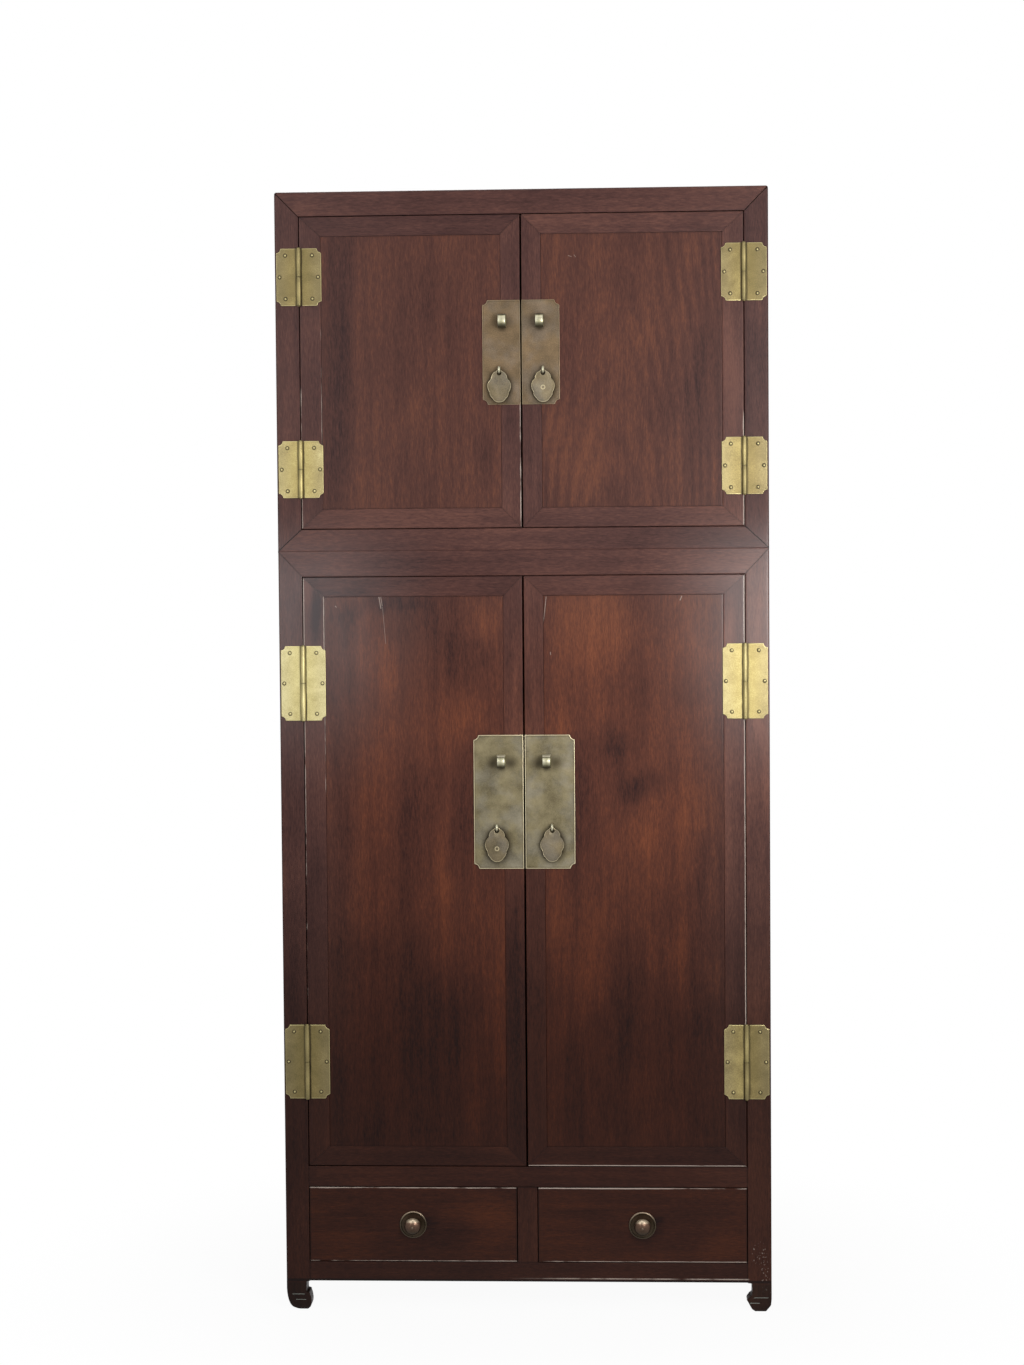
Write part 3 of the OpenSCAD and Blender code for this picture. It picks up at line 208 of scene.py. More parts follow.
class Shape:
    """Skins of points gathered into one mesh. Each point also carries its place in the
    log it was cut from and its finish: how pale its edge is painted (rubbing, and partly a
    painted highlight), how near a joint, its tone."""

    def __init__(self):
        self.points, self.faces, self.log, self.finish = [], [], [], []
        self.size = 0

    def skin(self, points, log=None, finish=None, wrap=True):
        """Adds a grid P(i, j). Each face joins P(i, j), P(i, j + 1), P(i + 1, j + 1) and
        P(i + 1, j); with wrap the last column is joined to the first."""
        rows, columns = points.shape[:2]
        index = np.arange(rows * columns).reshape(rows, columns) + self.size
        here = index if wrap else index[:, :-1]
        after = np.roll(index, -1, axis=1) if wrap else index[:, 1:]
        quads = np.stack([here[:-1], after[:-1], after[1:], here[1:]], axis=-1)
        self.faces.append(quads.reshape(-1, 4))
        self.points.append(points.reshape(-1, 3))
        self.log.append((points if log is None else log).reshape(-1, 3))
        blank = np.zeros((rows * columns, 3))
        self.finish.append(blank if finish is None else finish.reshape(-1, 3))
        self.size += rows * columns

    def build(self, name, body, material, slot, *nodes):
        """Makes the mesh, merges points that meet, points the faces outwards and lets the
        piece ride on its body in place of the CAD nodes."""
        mesh = bpy.data.meshes.new(name)
        mesh.from_pydata(
            np.concatenate(self.points).tolist(), [], np.concatenate(self.faces).tolist())
        for label, values in (("log", self.log), ("finish", self.finish)):
            layer = mesh.attributes.new(label, "FLOAT_VECTOR", "POINT")
            layer.data.foreach_set("vector", np.concatenate(values).astype("f").ravel())
        work = bmesh.new()
        work.from_mesh(mesh)
        bmesh.ops.remove_doubles(work, verts=work.verts, dist=MERGE)
        bmesh.ops.dissolve_degenerate(work, edges=work.edges, dist=MERGE)
        bmesh.ops.recalc_face_normals(work, faces=work.faces)
        work.to_mesh(mesh)
        work.free()
        mesh.polygons.foreach_set("use_smooth", np.ones(len(mesh.polygons), bool))
        mesh.set_sharp_from_angle(angle=SHARP)
        mesh.materials.append(material)
        piece = bpy.data.objects.new(name, mesh)
        bpy.context.scene.collection.objects.link(piece)
        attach(piece, body)
        if nodes:
            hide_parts(*nodes)
        return piece


def rounded_profile(low, high, radii, fill=0):
    """Rectangle in two axes, anticlockwise from (low, low): a quarter circle of its own
    radius at each corner, and a resting point a little past each end of it. Each side gets
    fill more points. The shares say which corner's circle a point lies on, so that the
    pale paint of a corner, for rubbing and painted highlight, fades out at the resting points
    beside it."""
    low, high = np.array(low), np.array(high)
    corners = np.array([low, [high[0], low[1]], high, [low[0], high[1]]])
    inward = np.array([[1, 1], [-1, 1], [-1, -1], [1, -1]])
    rest = min(0.003, 0.3 * (high - low).min())
    places, shares = [], []
    for i in range(4):
        angles = np.radians(180 + 90 * i + np.linspace(0, 90, 5))
        centre = corners[i] + radii[i] * inward[i]
        arc = centre + radii[i] * np.stack([np.cos(angles), np.sin(angles)], axis=-1)
        before = np.array([-math.sin(angles[0]), math.cos(angles[0])]) * rest
        after = np.array([-math.sin(angles[-1]), math.cos(angles[-1])]) * rest
        places += [arc[:1] - before, arc, arc[-1:] + after]
        share = np.zeros((7 + fill, 4))
        share[1:6, i] = 1.0
        shares.append(share)
        if fill:
            side = np.roll(corners, -i, axis=0)[:2]
            part = np.linspace(0.16, 0.84, fill)[:, None]
            places.append(side[0] + part * (side[1] - side[0]))
    return np.concatenate(places), np.concatenate(shares)


EASED = 0.0009  # radius of a member's edges, unless it has its own
END_RINGS = (  # share of the way out from the middle, distance from the end, the joint's shade
    (0.0, 0.0, 1.0), (0.6, 0.0, 1.0), (0.92, 0.0, 1.0), (1.0, 0.0, 1.0), (1.0, 0.001, 0.35),
    (1.0, 0.004, 0.0))


def member(shape, axis, low, high, radii=(EASED,) * 4, worn=(0.3,) * 4, start=None,
           end=None, tone=0.0, log=(0.2, 0.0, 0.0), stations=(), fill=0, seams=(1.0, 1.0)):
    """Straight piece of wood from low to high along the axis. P(s, t) carries the rounded
    profile Q(t) along the axis; the ends are cut back by start(Q) and end(Q), and close
    in rings that shrink to the middle of the profile. How pale a corner is painted, for
    rubbing and partly as painted highlight, is a number or a table of places along the axis
    and their paleness; seams say how dark each end's joint is."""
    low, high = np.array(low, float), np.array(high, float)
    centre = (low + high) / 2
    cross = [i for i in range(3) if i != axis]
    profile, corner_shares = rounded_profile(low[cross], high[cross], radii, fill)
    near = [(share, 0, away, shade * seams[0]) for share, away, shade in END_RINGS]
    between = [(1, 1, place, 0) for place in stations or [centre[axis]]]
    far = [(share, 2, away, shade * seams[1]) for share, away, shade in END_RINGS[::-1]]
    share, kind, place, seam = np.array(near + between + far, float).T[..., None]
    flat = centre[cross] + share[..., None] * (profile - centre[cross])
    along = np.where(kind == 0, low[axis] + (start(flat) if start else 0) + place, np.where(
        kind == 2, high[axis] - (end(flat) if end else 0) - place, place))
    points = np.zeros(flat.shape[:2] + (3,))
    points[..., cross] = flat
    points[..., axis] = along
    order = ([2, 1, 0], [2, 0, 1], [0, 1, 2])[axis]
    moved = np.where(np.arange(3) == axis, 0, centre)
    edge_paleness = 0.0
    for corner, worth in zip(corner_shares.T, worn):
        if np.ndim(worth):
            worth = np.interp(along, *np.array(worth, float).T)
        edge_paleness = edge_paleness + corner * worth
    finish = np.zeros(points.shape)
    finish[..., 0] = edge_paleness * (share > 0.99)
    finish[..., 1] = seam
    finish[..., 2] = tone
    shape.skin(points, (points - moved)[..., order] + np.array(log), finish)


def mitre(gap, *sides):
    """How far an end is cut back at a point: a gap and the greatest slope * |q - edge| of
    its sides, each given as the part of q, the edge and the slope."""
    def cut(q):
        return gap + np.max([np.abs(q[..., part] - edge) * slope
                             for part, edge, slope in sides], axis=0)
    return cut


APART = 3.0  # how far apart pieces of metal lie in their pattern, over their distance


def revolve(shape, outline, centre, turn, steps, finish=((0, 0),), tone=0.0,
            apart=(0.0, 0.0, 0.0)):
    """Turns an outline of (radius, height) about an axis through centre: P(s, t) = centre
    + turn (r cos t, r sin t, h). The finish gives the rim and the hollow of each row;
    apart moves the piece to another place of the metal's pattern."""
    angle = np.linspace(0, 2 * math.pi, steps, endpoint=False)
    radius, height = np.array(outline, float).T[..., None]
    local = np.stack([radius * np.cos(angle), radius * np.sin(angle),
                      height + 0 * angle], axis=-1)
    values = np.zeros(local.shape)
    values[..., :2] = np.array(finish, float)[:, None]
    values[..., 2] = tone
    shape.skin(local @ np.array(turn).T + np.array(centre), local + np.array(apart) * APART,
               values)


def arc(centre, radius, first, last, steps):
    """Points of a circular arc in the plane, angles in degrees."""
    angle = np.radians(np.linspace(first, last, steps))
    return np.array(centre) + radius * np.stack([np.cos(angle), np.sin(angle)], axis=-1)


def seeded(name):
    """A generator of random numbers that depends on the name alone."""
    return np.random.default_rng(sum(ord(c) * (i + 7) for i, c in enumerate(name)))


def cut_from(name, spread=0.12):
    """Place of a member in its log: beside the heart, so that its grain runs straight,
    and far along the trunk from every other member."""
    pick = seeded(name)
    return (0.10 + pick.random() * spread, 0.02 + 0.1 * pick.random(), 3 + 40 * pick.random())


def tone_of(name, amount=0.35):
    """Small difference in tone between one member and the next."""
    return float(seeded("tone " + name).uniform(-amount, amount))


# Materials


def arithmetic(operation, swapped=False):
    """An operator of Wire, which adds a Math node."""
    def method(self, other):
        return self.bench.math(operation, *((other, self) if swapped else (self, other)))
    return method


class Wire:
    """A socket in a material. Arithmetic on it adds Math nodes."""

    def __init__(self, bench, socket):
        self.bench, self.socket = bench, socket

    __add__ = __radd__ = arithmetic("ADD")
    __mul__ = __rmul__ = arithmetic("MULTIPLY")
    __sub__, __rsub__ = arithmetic("SUBTRACT"), arithmetic("SUBTRACT", swapped=True)
    __truediv__ = arithmetic("DIVIDE")


class Bench:
    """The node tree of a material or a world, under construction."""

    def __init__(self, holder):
        self.holder = holder
        holder.use_nodes = True
        self.tree = holder.node_tree
        self.tree.nodes.clear()

    def node(self, kind, settings=None, values=None, out=0):
        """Adds a node, sets its settings first, then the values or links of its sockets,
        and gives one of its outputs. A ramp's stops are a setting."""
        node = self.tree.nodes.new(kind)
        for key, value in (settings or {}).items():
            if key == "stops":
                ramp = node.color_ramp
                while len(ramp.elements) < len(value):
                    ramp.elements.new(1.0)
                for element, (place, tint) in zip(ramp.elements, value):
                    element.position = place
                    element.color = (*tint, 1.0)
            else:
                setattr(node, key, value)
        for key, value in (values or {}).items():
            if isinstance(value, Wire):
                self.tree.links.new(value.socket, node.inputs[key])
            elif hasattr(value, "__len__") and node.inputs[key].type == "RGBA":
                node.inputs[key].default_value = (*value[:3], 1.0)
            else:
                node.inputs[key].default_value = value
        return Wire(self, node.outputs[out])

    def math(self, operation, *values, clamp=False):
        """A Math node over the values."""
        return self.node("ShaderNodeMath", {"operation": operation, "use_clamp": clamp},
                         dict(enumerate(values)))

    def size(self, value):
        """The value without its sign."""
        return self.math("ABSOLUTE", value)

    def most(self, first, *others):
        """The greatest of the values."""
        for other in others:
            first = self.math("MAXIMUM", first, other)
        return first

    def distance(self, x, y):
        """Length of a flat vector."""
        return self.math("SQRT", x * x + y * y)

    def vector(self, x, y, z):
        """A vector of three values."""
        return self.node("ShaderNodeCombineXYZ", None, {0: x, 1: y, 2: z})

    def parts(self, vector):
        """The three parts of a vector."""
        first = self.node("ShaderNodeSeparateXYZ", None, {0: vector})
        return [Wire(self, output) for output in first.socket.node.outputs]

    def place(self):
        """The object coordinates."""
        return self.node("ShaderNodeTexCoord", out=3)

    def noise(self, place, across, along, detail=2.0, roughness=0.5, distortion=0.0):
        """Smooth noise from 0 to 1, with so many cells a metre across the grain and along."""
        return self.node("ShaderNodeTexNoise", {"noise_dimensions": "3D"}, {
            "Vector": self.node("ShaderNodeVectorMath", {"operation": "MULTIPLY"},
                                {0: place, 1: (across, across, along)}),
            "Scale": 1.0, "Detail": detail, "Roughness": roughness, "Distortion": distortion})

    def between(self, value, low, high):
        """0 below low, 1 above high, and a smooth step between them."""
        return self.node("ShaderNodeMapRange", {"interpolation_type": "SMOOTHSTEP"}, {
            "Value": value, "From Min": low, "From Max": high})

    def below(self, value, low, high):
        """1 below low, 0 above high, and a smooth step between them."""
        return 1.0 - self.between(value, low, high)

    def ramp(self, value, stops):
        """Colour of a value along a ramp of places and colours."""
        return self.node("ShaderNodeValToRGB", {"stops": stops}, {0: value})

    def mix(self, factor, a, b, blend="MIX"):
        """Colour a where the factor is 0, b where it is 1."""
        return self.node("ShaderNodeMix", {"data_type": "RGBA", "blend_type": blend},
                         {"Factor": factor, 6: a, 7: b}, out=2)

    def attribute(self, name):
        """An attribute of the mesh, as a vector."""
        return self.node("ShaderNodeAttribute", {"attribute_name": name}, out=1)

    def bump(self, height, distance, strength):
        """The normal of a fine relief."""
        return self.node("ShaderNodeBump", None, {
            "Height": height, "Distance": distance, "Strength": strength})

    def seen(self):
        """1 for the camera's rays and for those that shine or pass on towards it."""
        rays = ("Is Camera Ray", "Is Glossy Ray", "Is Transmission Ray")
        return self.most(*(self.node("ShaderNodeLightPath", out=ray) for ray in rays))

    def finish(self, **values):
        """Closes the material with a Principled shader of these values."""
        return self.close(self.node("ShaderNodeBsdfPrincipled", None, {
            key.replace("_", " "): value for key, value in values.items()}))

    def close(self, shader, output="ShaderNodeOutputMaterial"):
        """Leads a shader to the output."""
        end = self.tree.nodes.new(output)
        self.tree.links.new(shader.socket, end.inputs["Surface"])
        return self.holder


def blend(a, b, share):
    """Colour at a share of the way from a to b."""
    return tuple((1 - share) * p + share * q for p, q in zip(a, b))


def patch(bench, spot, sway, centre, reach):
    """1 at a point of the front and 0 outside an ellipse about it, whose edge sways."""
    x, _, z = spot
    away = bench.distance((x + sway - centre[0]) / reach[0], (z + sway - centre[1]) / reach[1])
    return bench.below(away, 0.0, 1.0)


BLACK = (0.0, 0.0, 0.0)
SEAM_TINT = (0.005, 0.003, 0.003)
FLOOR_SHADE = (0.38, 1.12)  # heights between which the painted shade near the floor fades out
GLOW_ACROSS, GLOW_FOOT, GLOW_TOP = (0.28, 0.40), (0.10, 0.60), (1.15, 1.48)
GLOW_TINT = (1.10, 0.90, 0.75)  # of the redder panels of the lower doors
POLISH_FOOT, POLISH_TOP = (0.95, 1.30), (1.38, 1.55)  # heights of the waxed band
POLISH_MIDDLE, POLISH_ACROSS = 0.04, (0.16, 0.44)  # it shines most at both sides


def wood(name, ground, warm, coords=None, pith=(0.0, 0.0), tilt=0.0, spacing=0.03,
         figure=0.10, streaks=0.35, blotches=0.35, gloss=0.42, patches=(), marks=None):
    """Polished hardwood. Faint wide rings lie round a pith that runs along the log and
    drifts by tilt: ring number = sqrt(x^2 + (y + tilt z)^2) / spacing, with x and y swayed
    by slow noise. Soft streaks, blotches, fibres and pores lie over them. The coords are
    the log place of each point, unless a CAD node gives its object coordinates. Each of
    the patches lightens or darkens an ellipse of the front; some of them are painted light
    and shade. A painted shade darkens the wood towards the floor, and its pale edges are
    partly rubbing, partly painted highlight."""
    tints = bpy.context.scene.cabinet_wood
    bench = Bench(bpy.data.materials.new(name))
    edge_paleness, seam, tone = 0.0, 0.0, 0.0
    if coords is None:
        log = bench.attribute("log")
        edge_paleness, seam, tone = bench.parts(bench.attribute("finish"))
    else:
        log = coords(bench)
    spot = bench.parts(bench.place())
    slow = bench.noise(log, 3.0, 1.3)
    sway = bench.noise(log, 16.0, 2.6) - 0.5
    broad = bench.noise(log, 24.0, 0.8, 3.0, 0.5, 0.15)
    narrow = bench.noise(log, 120.0, 6.0)
    blotch = bench.noise(log, 7.0, 4.5, 4.0, 0.55)
    fibre = bench.noise(log, 1100.0, 42.0, 2.0, 0.6)
    fleck = bench.noise(log, 430.0, 80.0, 3.0, 0.65)
    pores = bench.between(bench.noise(log, 1500.0, 90.0, 1.0), 0.60, 0.74)
    x, y, z = bench.parts(log)
    x = x - pith[0] + (slow - 0.5) * 0.09 + sway * 0.03
    ring = bench.distance(x, y - pith[1] + z * tilt) / spacing
    rings = bench.math("SINE", ring * math.tau) * 0.5
    value = rings * figure * bench.between(slow, 0.35, 0.6) + tone * 0.12 + 0.5
    for layer, amount in ((broad, streaks), (narrow, 0.34), (blotch, blotches),
                          (fibre, 0.34), (fleck, 0.90)):
        value = value + (layer - 0.5) * amount
    for centre, reach, strength in patches:
        value = value + patch(bench, spot, sway * 0.10, centre, reach) * strength
    tint = bench.ramp(value, [
        (0.0, tints.deep), (0.26, blend(ground, tints.deep, 0.45)), (0.5, ground),
        (0.76, blend(ground, warm, 0.5)), (1.0, warm)])
    tint = bench.mix(pores * 0.35, tint, blend(ground, BLACK, 0.55))
    # Painted shade: the wood darkens towards the floor, in place of the light falling off there
    tint = bench.mix(bench.below(spot[2], *FLOOR_SHADE), tint, tints.floor_shade, "MULTIPLY")
    glow = bench.below(bench.size(spot[0]), *GLOW_ACROSS) \
        * bench.between(spot[2], *GLOW_FOOT) * bench.below(spot[2], *GLOW_TOP)
    tint = bench.mix(glow, tint, GLOW_TINT, "MULTIPLY")
    rough = gloss + (blotch - 0.5) * 0.16 + (narrow - 0.5) * 0.14 + pores * 0.12
    if coords is None:
        bite = bench.noise(log, 140.0, 30.0, 4.0, 0.65)
        patchy = bench.noise(log, 9.0, 3.0)
        # Pale edges: rubbed wood, and partly a painted highlight along edges that catch the light
        pale_edges = bench.between(edge_paleness * (bite * 0.9 + patchy * 0.9), 0.78, 1.02)
        tint = bench.mix(pale_edges * 0.8, tint, tints.worn)
        tint = bench.mix(seam * 0.85, tint, SEAM_TINT)
        rough = rough + pale_edges * 0.15
    if marks is not None:
        tint = marks(bench, tint, spot)
    band = bench.between(spot[2], *POLISH_FOOT) - bench.between(spot[2], *POLISH_TOP) * 0.9
    edges = bench.between(bench.size(spot[0] - POLISH_MIDDLE), *POLISH_ACROSS)
    wax = bench.noise(log, 18.0, 4.0, 3.0, 0.6) * 0.6 + 0.6
    relief = fibre * 0.5 + pores * -0.8 + narrow * 0.4
    return bench.finish(
        Base_Color=tint, Roughness=rough, Specular_IOR_Level=0.10,
        Coat_Weight=band * edges * wax, Coat_Roughness=0.36,
        Normal=bench.bump(relief, 0.00012, 0.55))


def brass(name, level=0.5, mottle=0.45, gloss=0.42, metal=0.6, edge=0.5, cool=0.3,
          painted_shade=None, grounds=None, greying=None, shines=None):
    """Old brass: tones from dark tarnish to polish, mottled in clouds and brushed upright,
    with greyer patches, dark hollows and paler rims; the hollows also carry painted shade
    and the rims painted highlights. The finish attribute's parts mark rims, hollows and the
    tone. The painted shade, greying and shines arguments add painted shade, grey and polish
    from the object coordinates."""
    tints = bpy.context.scene.cabinet_metal
    bench = Bench(bpy.data.materials.new(name))
    log = bench.attribute("log")
    rim, hollow_and_shade, tone = bench.parts(bench.attribute("finish"))
    spot = bench.parts(bench.place())
    cloud = bench.noise(log, 26.0, 16.0, 5.0, 0.6, 0.3)
    greys = bench.noise(log, 21.0, 12.0, 4.0, 0.55)
    grain = bench.noise(log, 500.0, 500.0, 3.0, 0.65)
    brushed = bench.noise(log, 1300.0, 45.0, 2.0, 0.6)
    value = (cloud - 0.5) * mottle + (grain - 0.5) * 0.36 + (brushed - 0.5) * 0.38 + level + tone
    rows = grounds or (tints.patina_and_shade, tints.olive, tints.dull, tints.gold, tints.pale)
    tint = bench.ramp(value, [(i * 0.25, row) for i, row in enumerate(rows)])
    grey = bench.node("ShaderNodeHueSaturation", None, {
        "Saturation": 0.35, "Value": 0.95, "Color": tint})
    greyed = bench.between(greys, 0.40, 0.64) * cool
    if greying is not None:
        greyed = greyed + greying(bench, spot)
    tint = bench.mix(greyed, tint, grey)
    pale, dark = rim * edge, hollow_and_shade * 0.85
    if shines is not None:
        pale = bench.most(pale, shines(bench, spot))
    if painted_shade is not None:
        dark = bench.most(dark, painted_shade(bench, spot))
    tint = bench.mix(dark, bench.mix(pale, tint, rows[-1]), rows[0])
    rough = gloss + (cloud - 0.5) * 0.20 + (brushed - 0.5) * 0.15 - rim * 0.06
    return bench.finish(
        Base_Color=tint, Metallic=metal, Roughness=rough, Specular_IOR_Level=0.25,
        Normal=bench.bump(grain * 0.5 + brushed * 0.4 + cloud, 0.00022, 0.5))


def along(axis):
    """Log coordinates of a CAD node whose grain runs along an axis: its object coordinates,
    turned so that the grain lies along the third part."""
    turn = {"x": (0.0, math.radians(-90), 0.0), "y": (math.radians(90), 0.0, 0.0),
            "z": (0.0, 0.0, 0.0)}[axis]

    def coords(bench):
        return bench.node("ShaderNodeMapping", None, {
            "Vector": bench.place(), "Rotation": turn})
    return coords


# The case


FOOT_LEFT = np.array([  # height, outer face, inner face
    (0.0, 0.0240, 0.0405), (0.0012, 0.0185, 0.0420), (0.0030, 0.0132, 0.0445),
    (0.0062, 0.0095, 0.0462), (0.0100, 0.0068, 0.0475), (0.0147, 0.0045, 0.0480),
    (0.0190, 0.0030, 0.0478), (0.0240, 0.0018, 0.0468), (0.0290, 0.0010, 0.0452),
    (0.0320, 0.0006, 0.0440), (0.0328, 0.0005, 0.0434), (0.0331, 0.0005, 0.0386),
    (0.0400, 0.0, 0.0382), (0.0543, 0.0, 0.0386), (0.0551, 0.0, 0.0450)])
FOOT_RIGHT = np.array([
    (0.0, 0.0105, 0.0310), (0.0020, 0.0088, 0.0345), (0.0050, 0.0070, 0.0382),
    (0.0090, 0.0035, 0.0400), (0.0125, 0.0012, 0.0418), (0.0160, 0.0008, 0.0436),
    (0.0195, 0.0004, 0.0456), (0.0218, 0.0002, 0.0472), (0.0240, 0.0, 0.0462),
    (0.0275, 0.0, 0.0425), (0.0300, 0.0, 0.0388), (0.0318, 0.0, 0.0372),
    (0.0400, 0.0, 0.0372), (0.0543, 0.0, 0.0376), (0.0551, 0.0, 0.0450)])
FOOT_LINES = {  # height, and reach from the outer face
    1: ((0.0190, 0.015, 0.039), (0.0297, 0.009, 0.036)),
    -1: ((0.0165, 0.021, 0.042), (0.0270, 0.006, 0.034))}


def post_cut(rail, post, far, crown=0.0):
    """How far the end of a post is cut back at a point: the three-way mitre
    rail * max(dx, dy) / post, with dx and dy from the outer faces, and the arris round the
    top, crown - sqrt(crown^2 - (crown - d)^2)."""
    back = mitre(0.0, (0, far[0], rail / post), (1, far[1], rail / post))

    def cut(q):
        inner = np.clip(crown - np.abs(q - far).min(axis=-1), 0, crown)
        return np.maximum(back(q), crown - np.sqrt(crown ** 2 - inner ** 2))
    return cut


# The lower right post is lightened as a painted sheen of the key lamp on that side, the lower left
# darkened as painted shade away from it
POST_TONES_AND_SHEEN = {"upper front left": -1.1, "upper front right": -1.1, "lower front left": -0.7,
              "lower front right": 0.9}
GROOVE_RINGS = (-0.0011, -0.0005, 0.0005, 0.0011)  # from the height of an incised line
GROOVE_HALF, GROOVE_DEPTH, GROOVE_WEAR = 0.0007, 0.0008, 1.5
HOOF_WIDE, HOOF_TOP = 0.0400, 0.05  # the inner corner is cut where a hoof is so wide


def add_post(shape, name, corner, low, high, cuts, sizes, foot=None):
    """Square post at a corner of the case, given by its outer edge and the directions
    inwards. With a foot, each face below the leg follows the foot's outline: a point at
    share u of the post's width stands at outer(z) + u (inner(z) - outer(z))."""
    inner = corner[:2] + corner[2:] * sizes.post
    own = [(0, 0), (1, 0), (1, 1), (0, 1)].index(tuple(corner[2:] < 0))
    radii, worn = [sizes.eased] * 4, [0.35] * 4
    radii[own], worn[own] = sizes.arris, 0.55
    stations, fill, seams = [(low + high) / 2], 0, (1.0, 0.4)
    if foot is not None:
        lines = FOOT_LINES[int(corner[2])]
        grooves = [z + away for z, _, _ in lines for away in GROOVE_RINGS]
        heights = np.concatenate([foot[foot[:, 0] > 0.005, 0], grooves])
        stations, fill, seams = np.unique(heights).tolist() + stations, 8, (1.0, 1.0)
    member(shape, 2, [*np.minimum(corner[:2], inner), low],
           [*np.maximum(corner[:2], inner), high], radii, worn, *cuts,
           tone=tone_of(name, 0.15) + POST_TONES_AND_SHEEN.get(name, 0.0), log=cut_from(name),
           stations=stations, fill=fill, seams=seams)
    if foot is None:
        return
    points = shape.points[-1]
    z = points[:, 2]
    share = (points[:, :2] - corner[:2]) * corner[2:] / sizes.post
    inner = np.interp(z, foot[:, 0], foot[:, 2])
    sole = sizes.sole_in * np.clip(1 - z / (3 * sizes.sole_in), 0, 1) ** 2
    outer = np.stack([np.interp(z, foot[:, 0], foot[:, 1]), sole], axis=-1)
    local = outer + share * (inner[:, None] - outer)
    over = np.maximum(local.sum(axis=1) - 2 * foot[:, 2].max() + sizes.hoof_corner, 0)
    local -= 0.5 * (over * (inner > HOOF_WIDE) * (z < HOOF_TOP))[:, None]
    below = z < foot[-1, 0]
    points[below, :2] = (corner[:2] + corner[2:] * local)[below]
    for height, start, end in lines:
        reach = np.abs(points[:, 0] - corner[0])
        groove = (np.abs(z - height) < GROOVE_HALF) & (share[:, 1] < 0.02) & \
            (reach > start) & (reach < end)
        points[groove, 1] += GROOVE_DEPTH * corner[3]
        shape.finish[-1][groove, 0] = GROOVE_WEAR


def frame_member(shape, axis, side, box, outer_up, name, sizes, crown=0.0):
    """Member of a frame, mitred three ways into the posts: its ends are cut back by
    max(post * dz / height, d), with dz from its outer edge and d from its outer face."""
    low, high = box
    face = (low if side < 0 else high)[1 - axis]
    edge = (high if outer_up else low)[2]
    cut = mitre(sizes.joint, (1, edge, sizes.post / (high[2] - low[2])), (0, face, 1.0))
    corners = [(-1, False), (1, False), (1, True), (-1, True)]
    outside, inside = corners.index((side, outer_up)), corners.index((side, not outer_up))
    radii, worn = [sizes.eased] * 4, [0.2] * 4
    radii[outside] = crown or sizes.eased
    worn[outside], worn[inside] = 0.5, 0.35
    member(shape, axis, low, high, radii, worn, cut, cut, tone_of(name), cut_from(name),
           seams=(0.4, 0.4) if crown else (1.0, 1.0))


BASE_FRONT = (-0.2270, -0.2262)  # y where marks on the front of the case fade out
BASE_ARRIS = 0.0622  # height of the rubbed arris
BASE_CHIPS = (((0.441, 0.112), (0.020, 0.030)), ((0.452, 0.070), (0.012, 0.045)))
# Painted shade: the feet darken and grey towards the floor, and the chamfer under the base rail
# darkens
FEET_SHADE_TOP, FEET_SHADE_TINT = (0.050, 0.058), (0.55, 0.70, 0.72)
UNDER_LOW, UNDER_TOP, UNDER_TINT = (0.0546, 0.0550), (0.0592, 0.0606), (0.004, 0.003, 0.003)


def base_marks(bench, tint, spot):
    """The rubbed arris along the underside of the front base rail with painted shade below it,
    chips at the right post, and painted shade darkening the feet."""
    x, y, z = spot
    worn = bpy.context.scene.cabinet_wood.worn
    front = bench.below(y, *BASE_FRONT)
    near = bench.below(bench.size(z - BASE_ARRIS), 0.0005, 0.0016)
    rubbed = bench.noise(bench.vector(x, 0.0, 0.0), 22.0, 22.0, 3.0)
    right = bench.between(x, -0.05, 0.12) * bench.below(x, 0.418, 0.424)
    tint = bench.mix(near * front * bench.between(rubbed, 0.34, 0.56) * right * 0.75, tint, worn)
    chips = bench.noise(bench.vector(x, 0.0, z), 270.0, 270.0, 2.0, 0.6)
    corner = bench.most(*(patch(bench, spot, 0.0, *chip) for chip in BASE_CHIPS))
    tint = bench.mix(bench.between(chips, 0.62, 0.68) * bench.between(corner, 0.05, 0.4)
                     * front * 0.8, tint, worn)
    # Painted shade on the feet
    tint = bench.mix(bench.below(z, *FEET_SHADE_TOP), tint, FEET_SHADE_TINT, "MULTIPLY")
    # Painted shade on the chamfer under the rubbed arris
    under = bench.below(z, *UNDER_TOP) * bench.between(z, *UNDER_LOW)
    return bench.mix(under * 0.75, tint, UNDER_TINT)


# The lighter strips on the right post and the right-hand stiles are a painted sheen of the key
# lamp, and the dark strip along the lower left door's top rail is painted shade beside its panel
FRAME_PATCHES_SHEEN_AND_SHADE = (  # centre, reach, and how much lighter or darker
    ((-0.398, 1.335), (0.032, 0.100), -0.60), ((0.398, 1.300), (0.020, 0.110), 0.30),
    ((0.446, 1.150), (0.018, 0.320), 0.40), ((-0.028, 1.690), (0.022, 0.060), -0.22),
    ((-0.020, 1.270), (0.020, 0.120), -0.25), ((0.020, 1.200), (0.020, 0.080), -0.30),
    ((-0.300, 1.385), (0.120, 0.018), -0.20), ((0.0, 0.580), (0.075, 0.480), -0.26),
    ((0.398, 1.780), (0.030, 0.220), 0.30), ((0.398, 1.030), (0.030, 0.160), 0.15),
)


def wood_finishes():
    """The woods of the cabinet, made once."""
    tints = bpy.context.scene.cabinet_wood
    known = bpy.data.materials
    if "frame_wood" not in known:
        wood("frame_wood", tints.dark, tints.dark_light, figure=0.04, streaks=0.60,
             blotches=0.80, patches=FRAME_PATCHES_SHEEN_AND_SHADE, marks=base_marks)
        for axis in "xyz":
            wood(f"plain_wood_{axis}", tints.plain, tints.plain_light, along(axis), gloss=0.6)
        wood("side_panel_wood", tints.red, tints.warm, along("z"), pith=(0.1, -0.05))
    return known


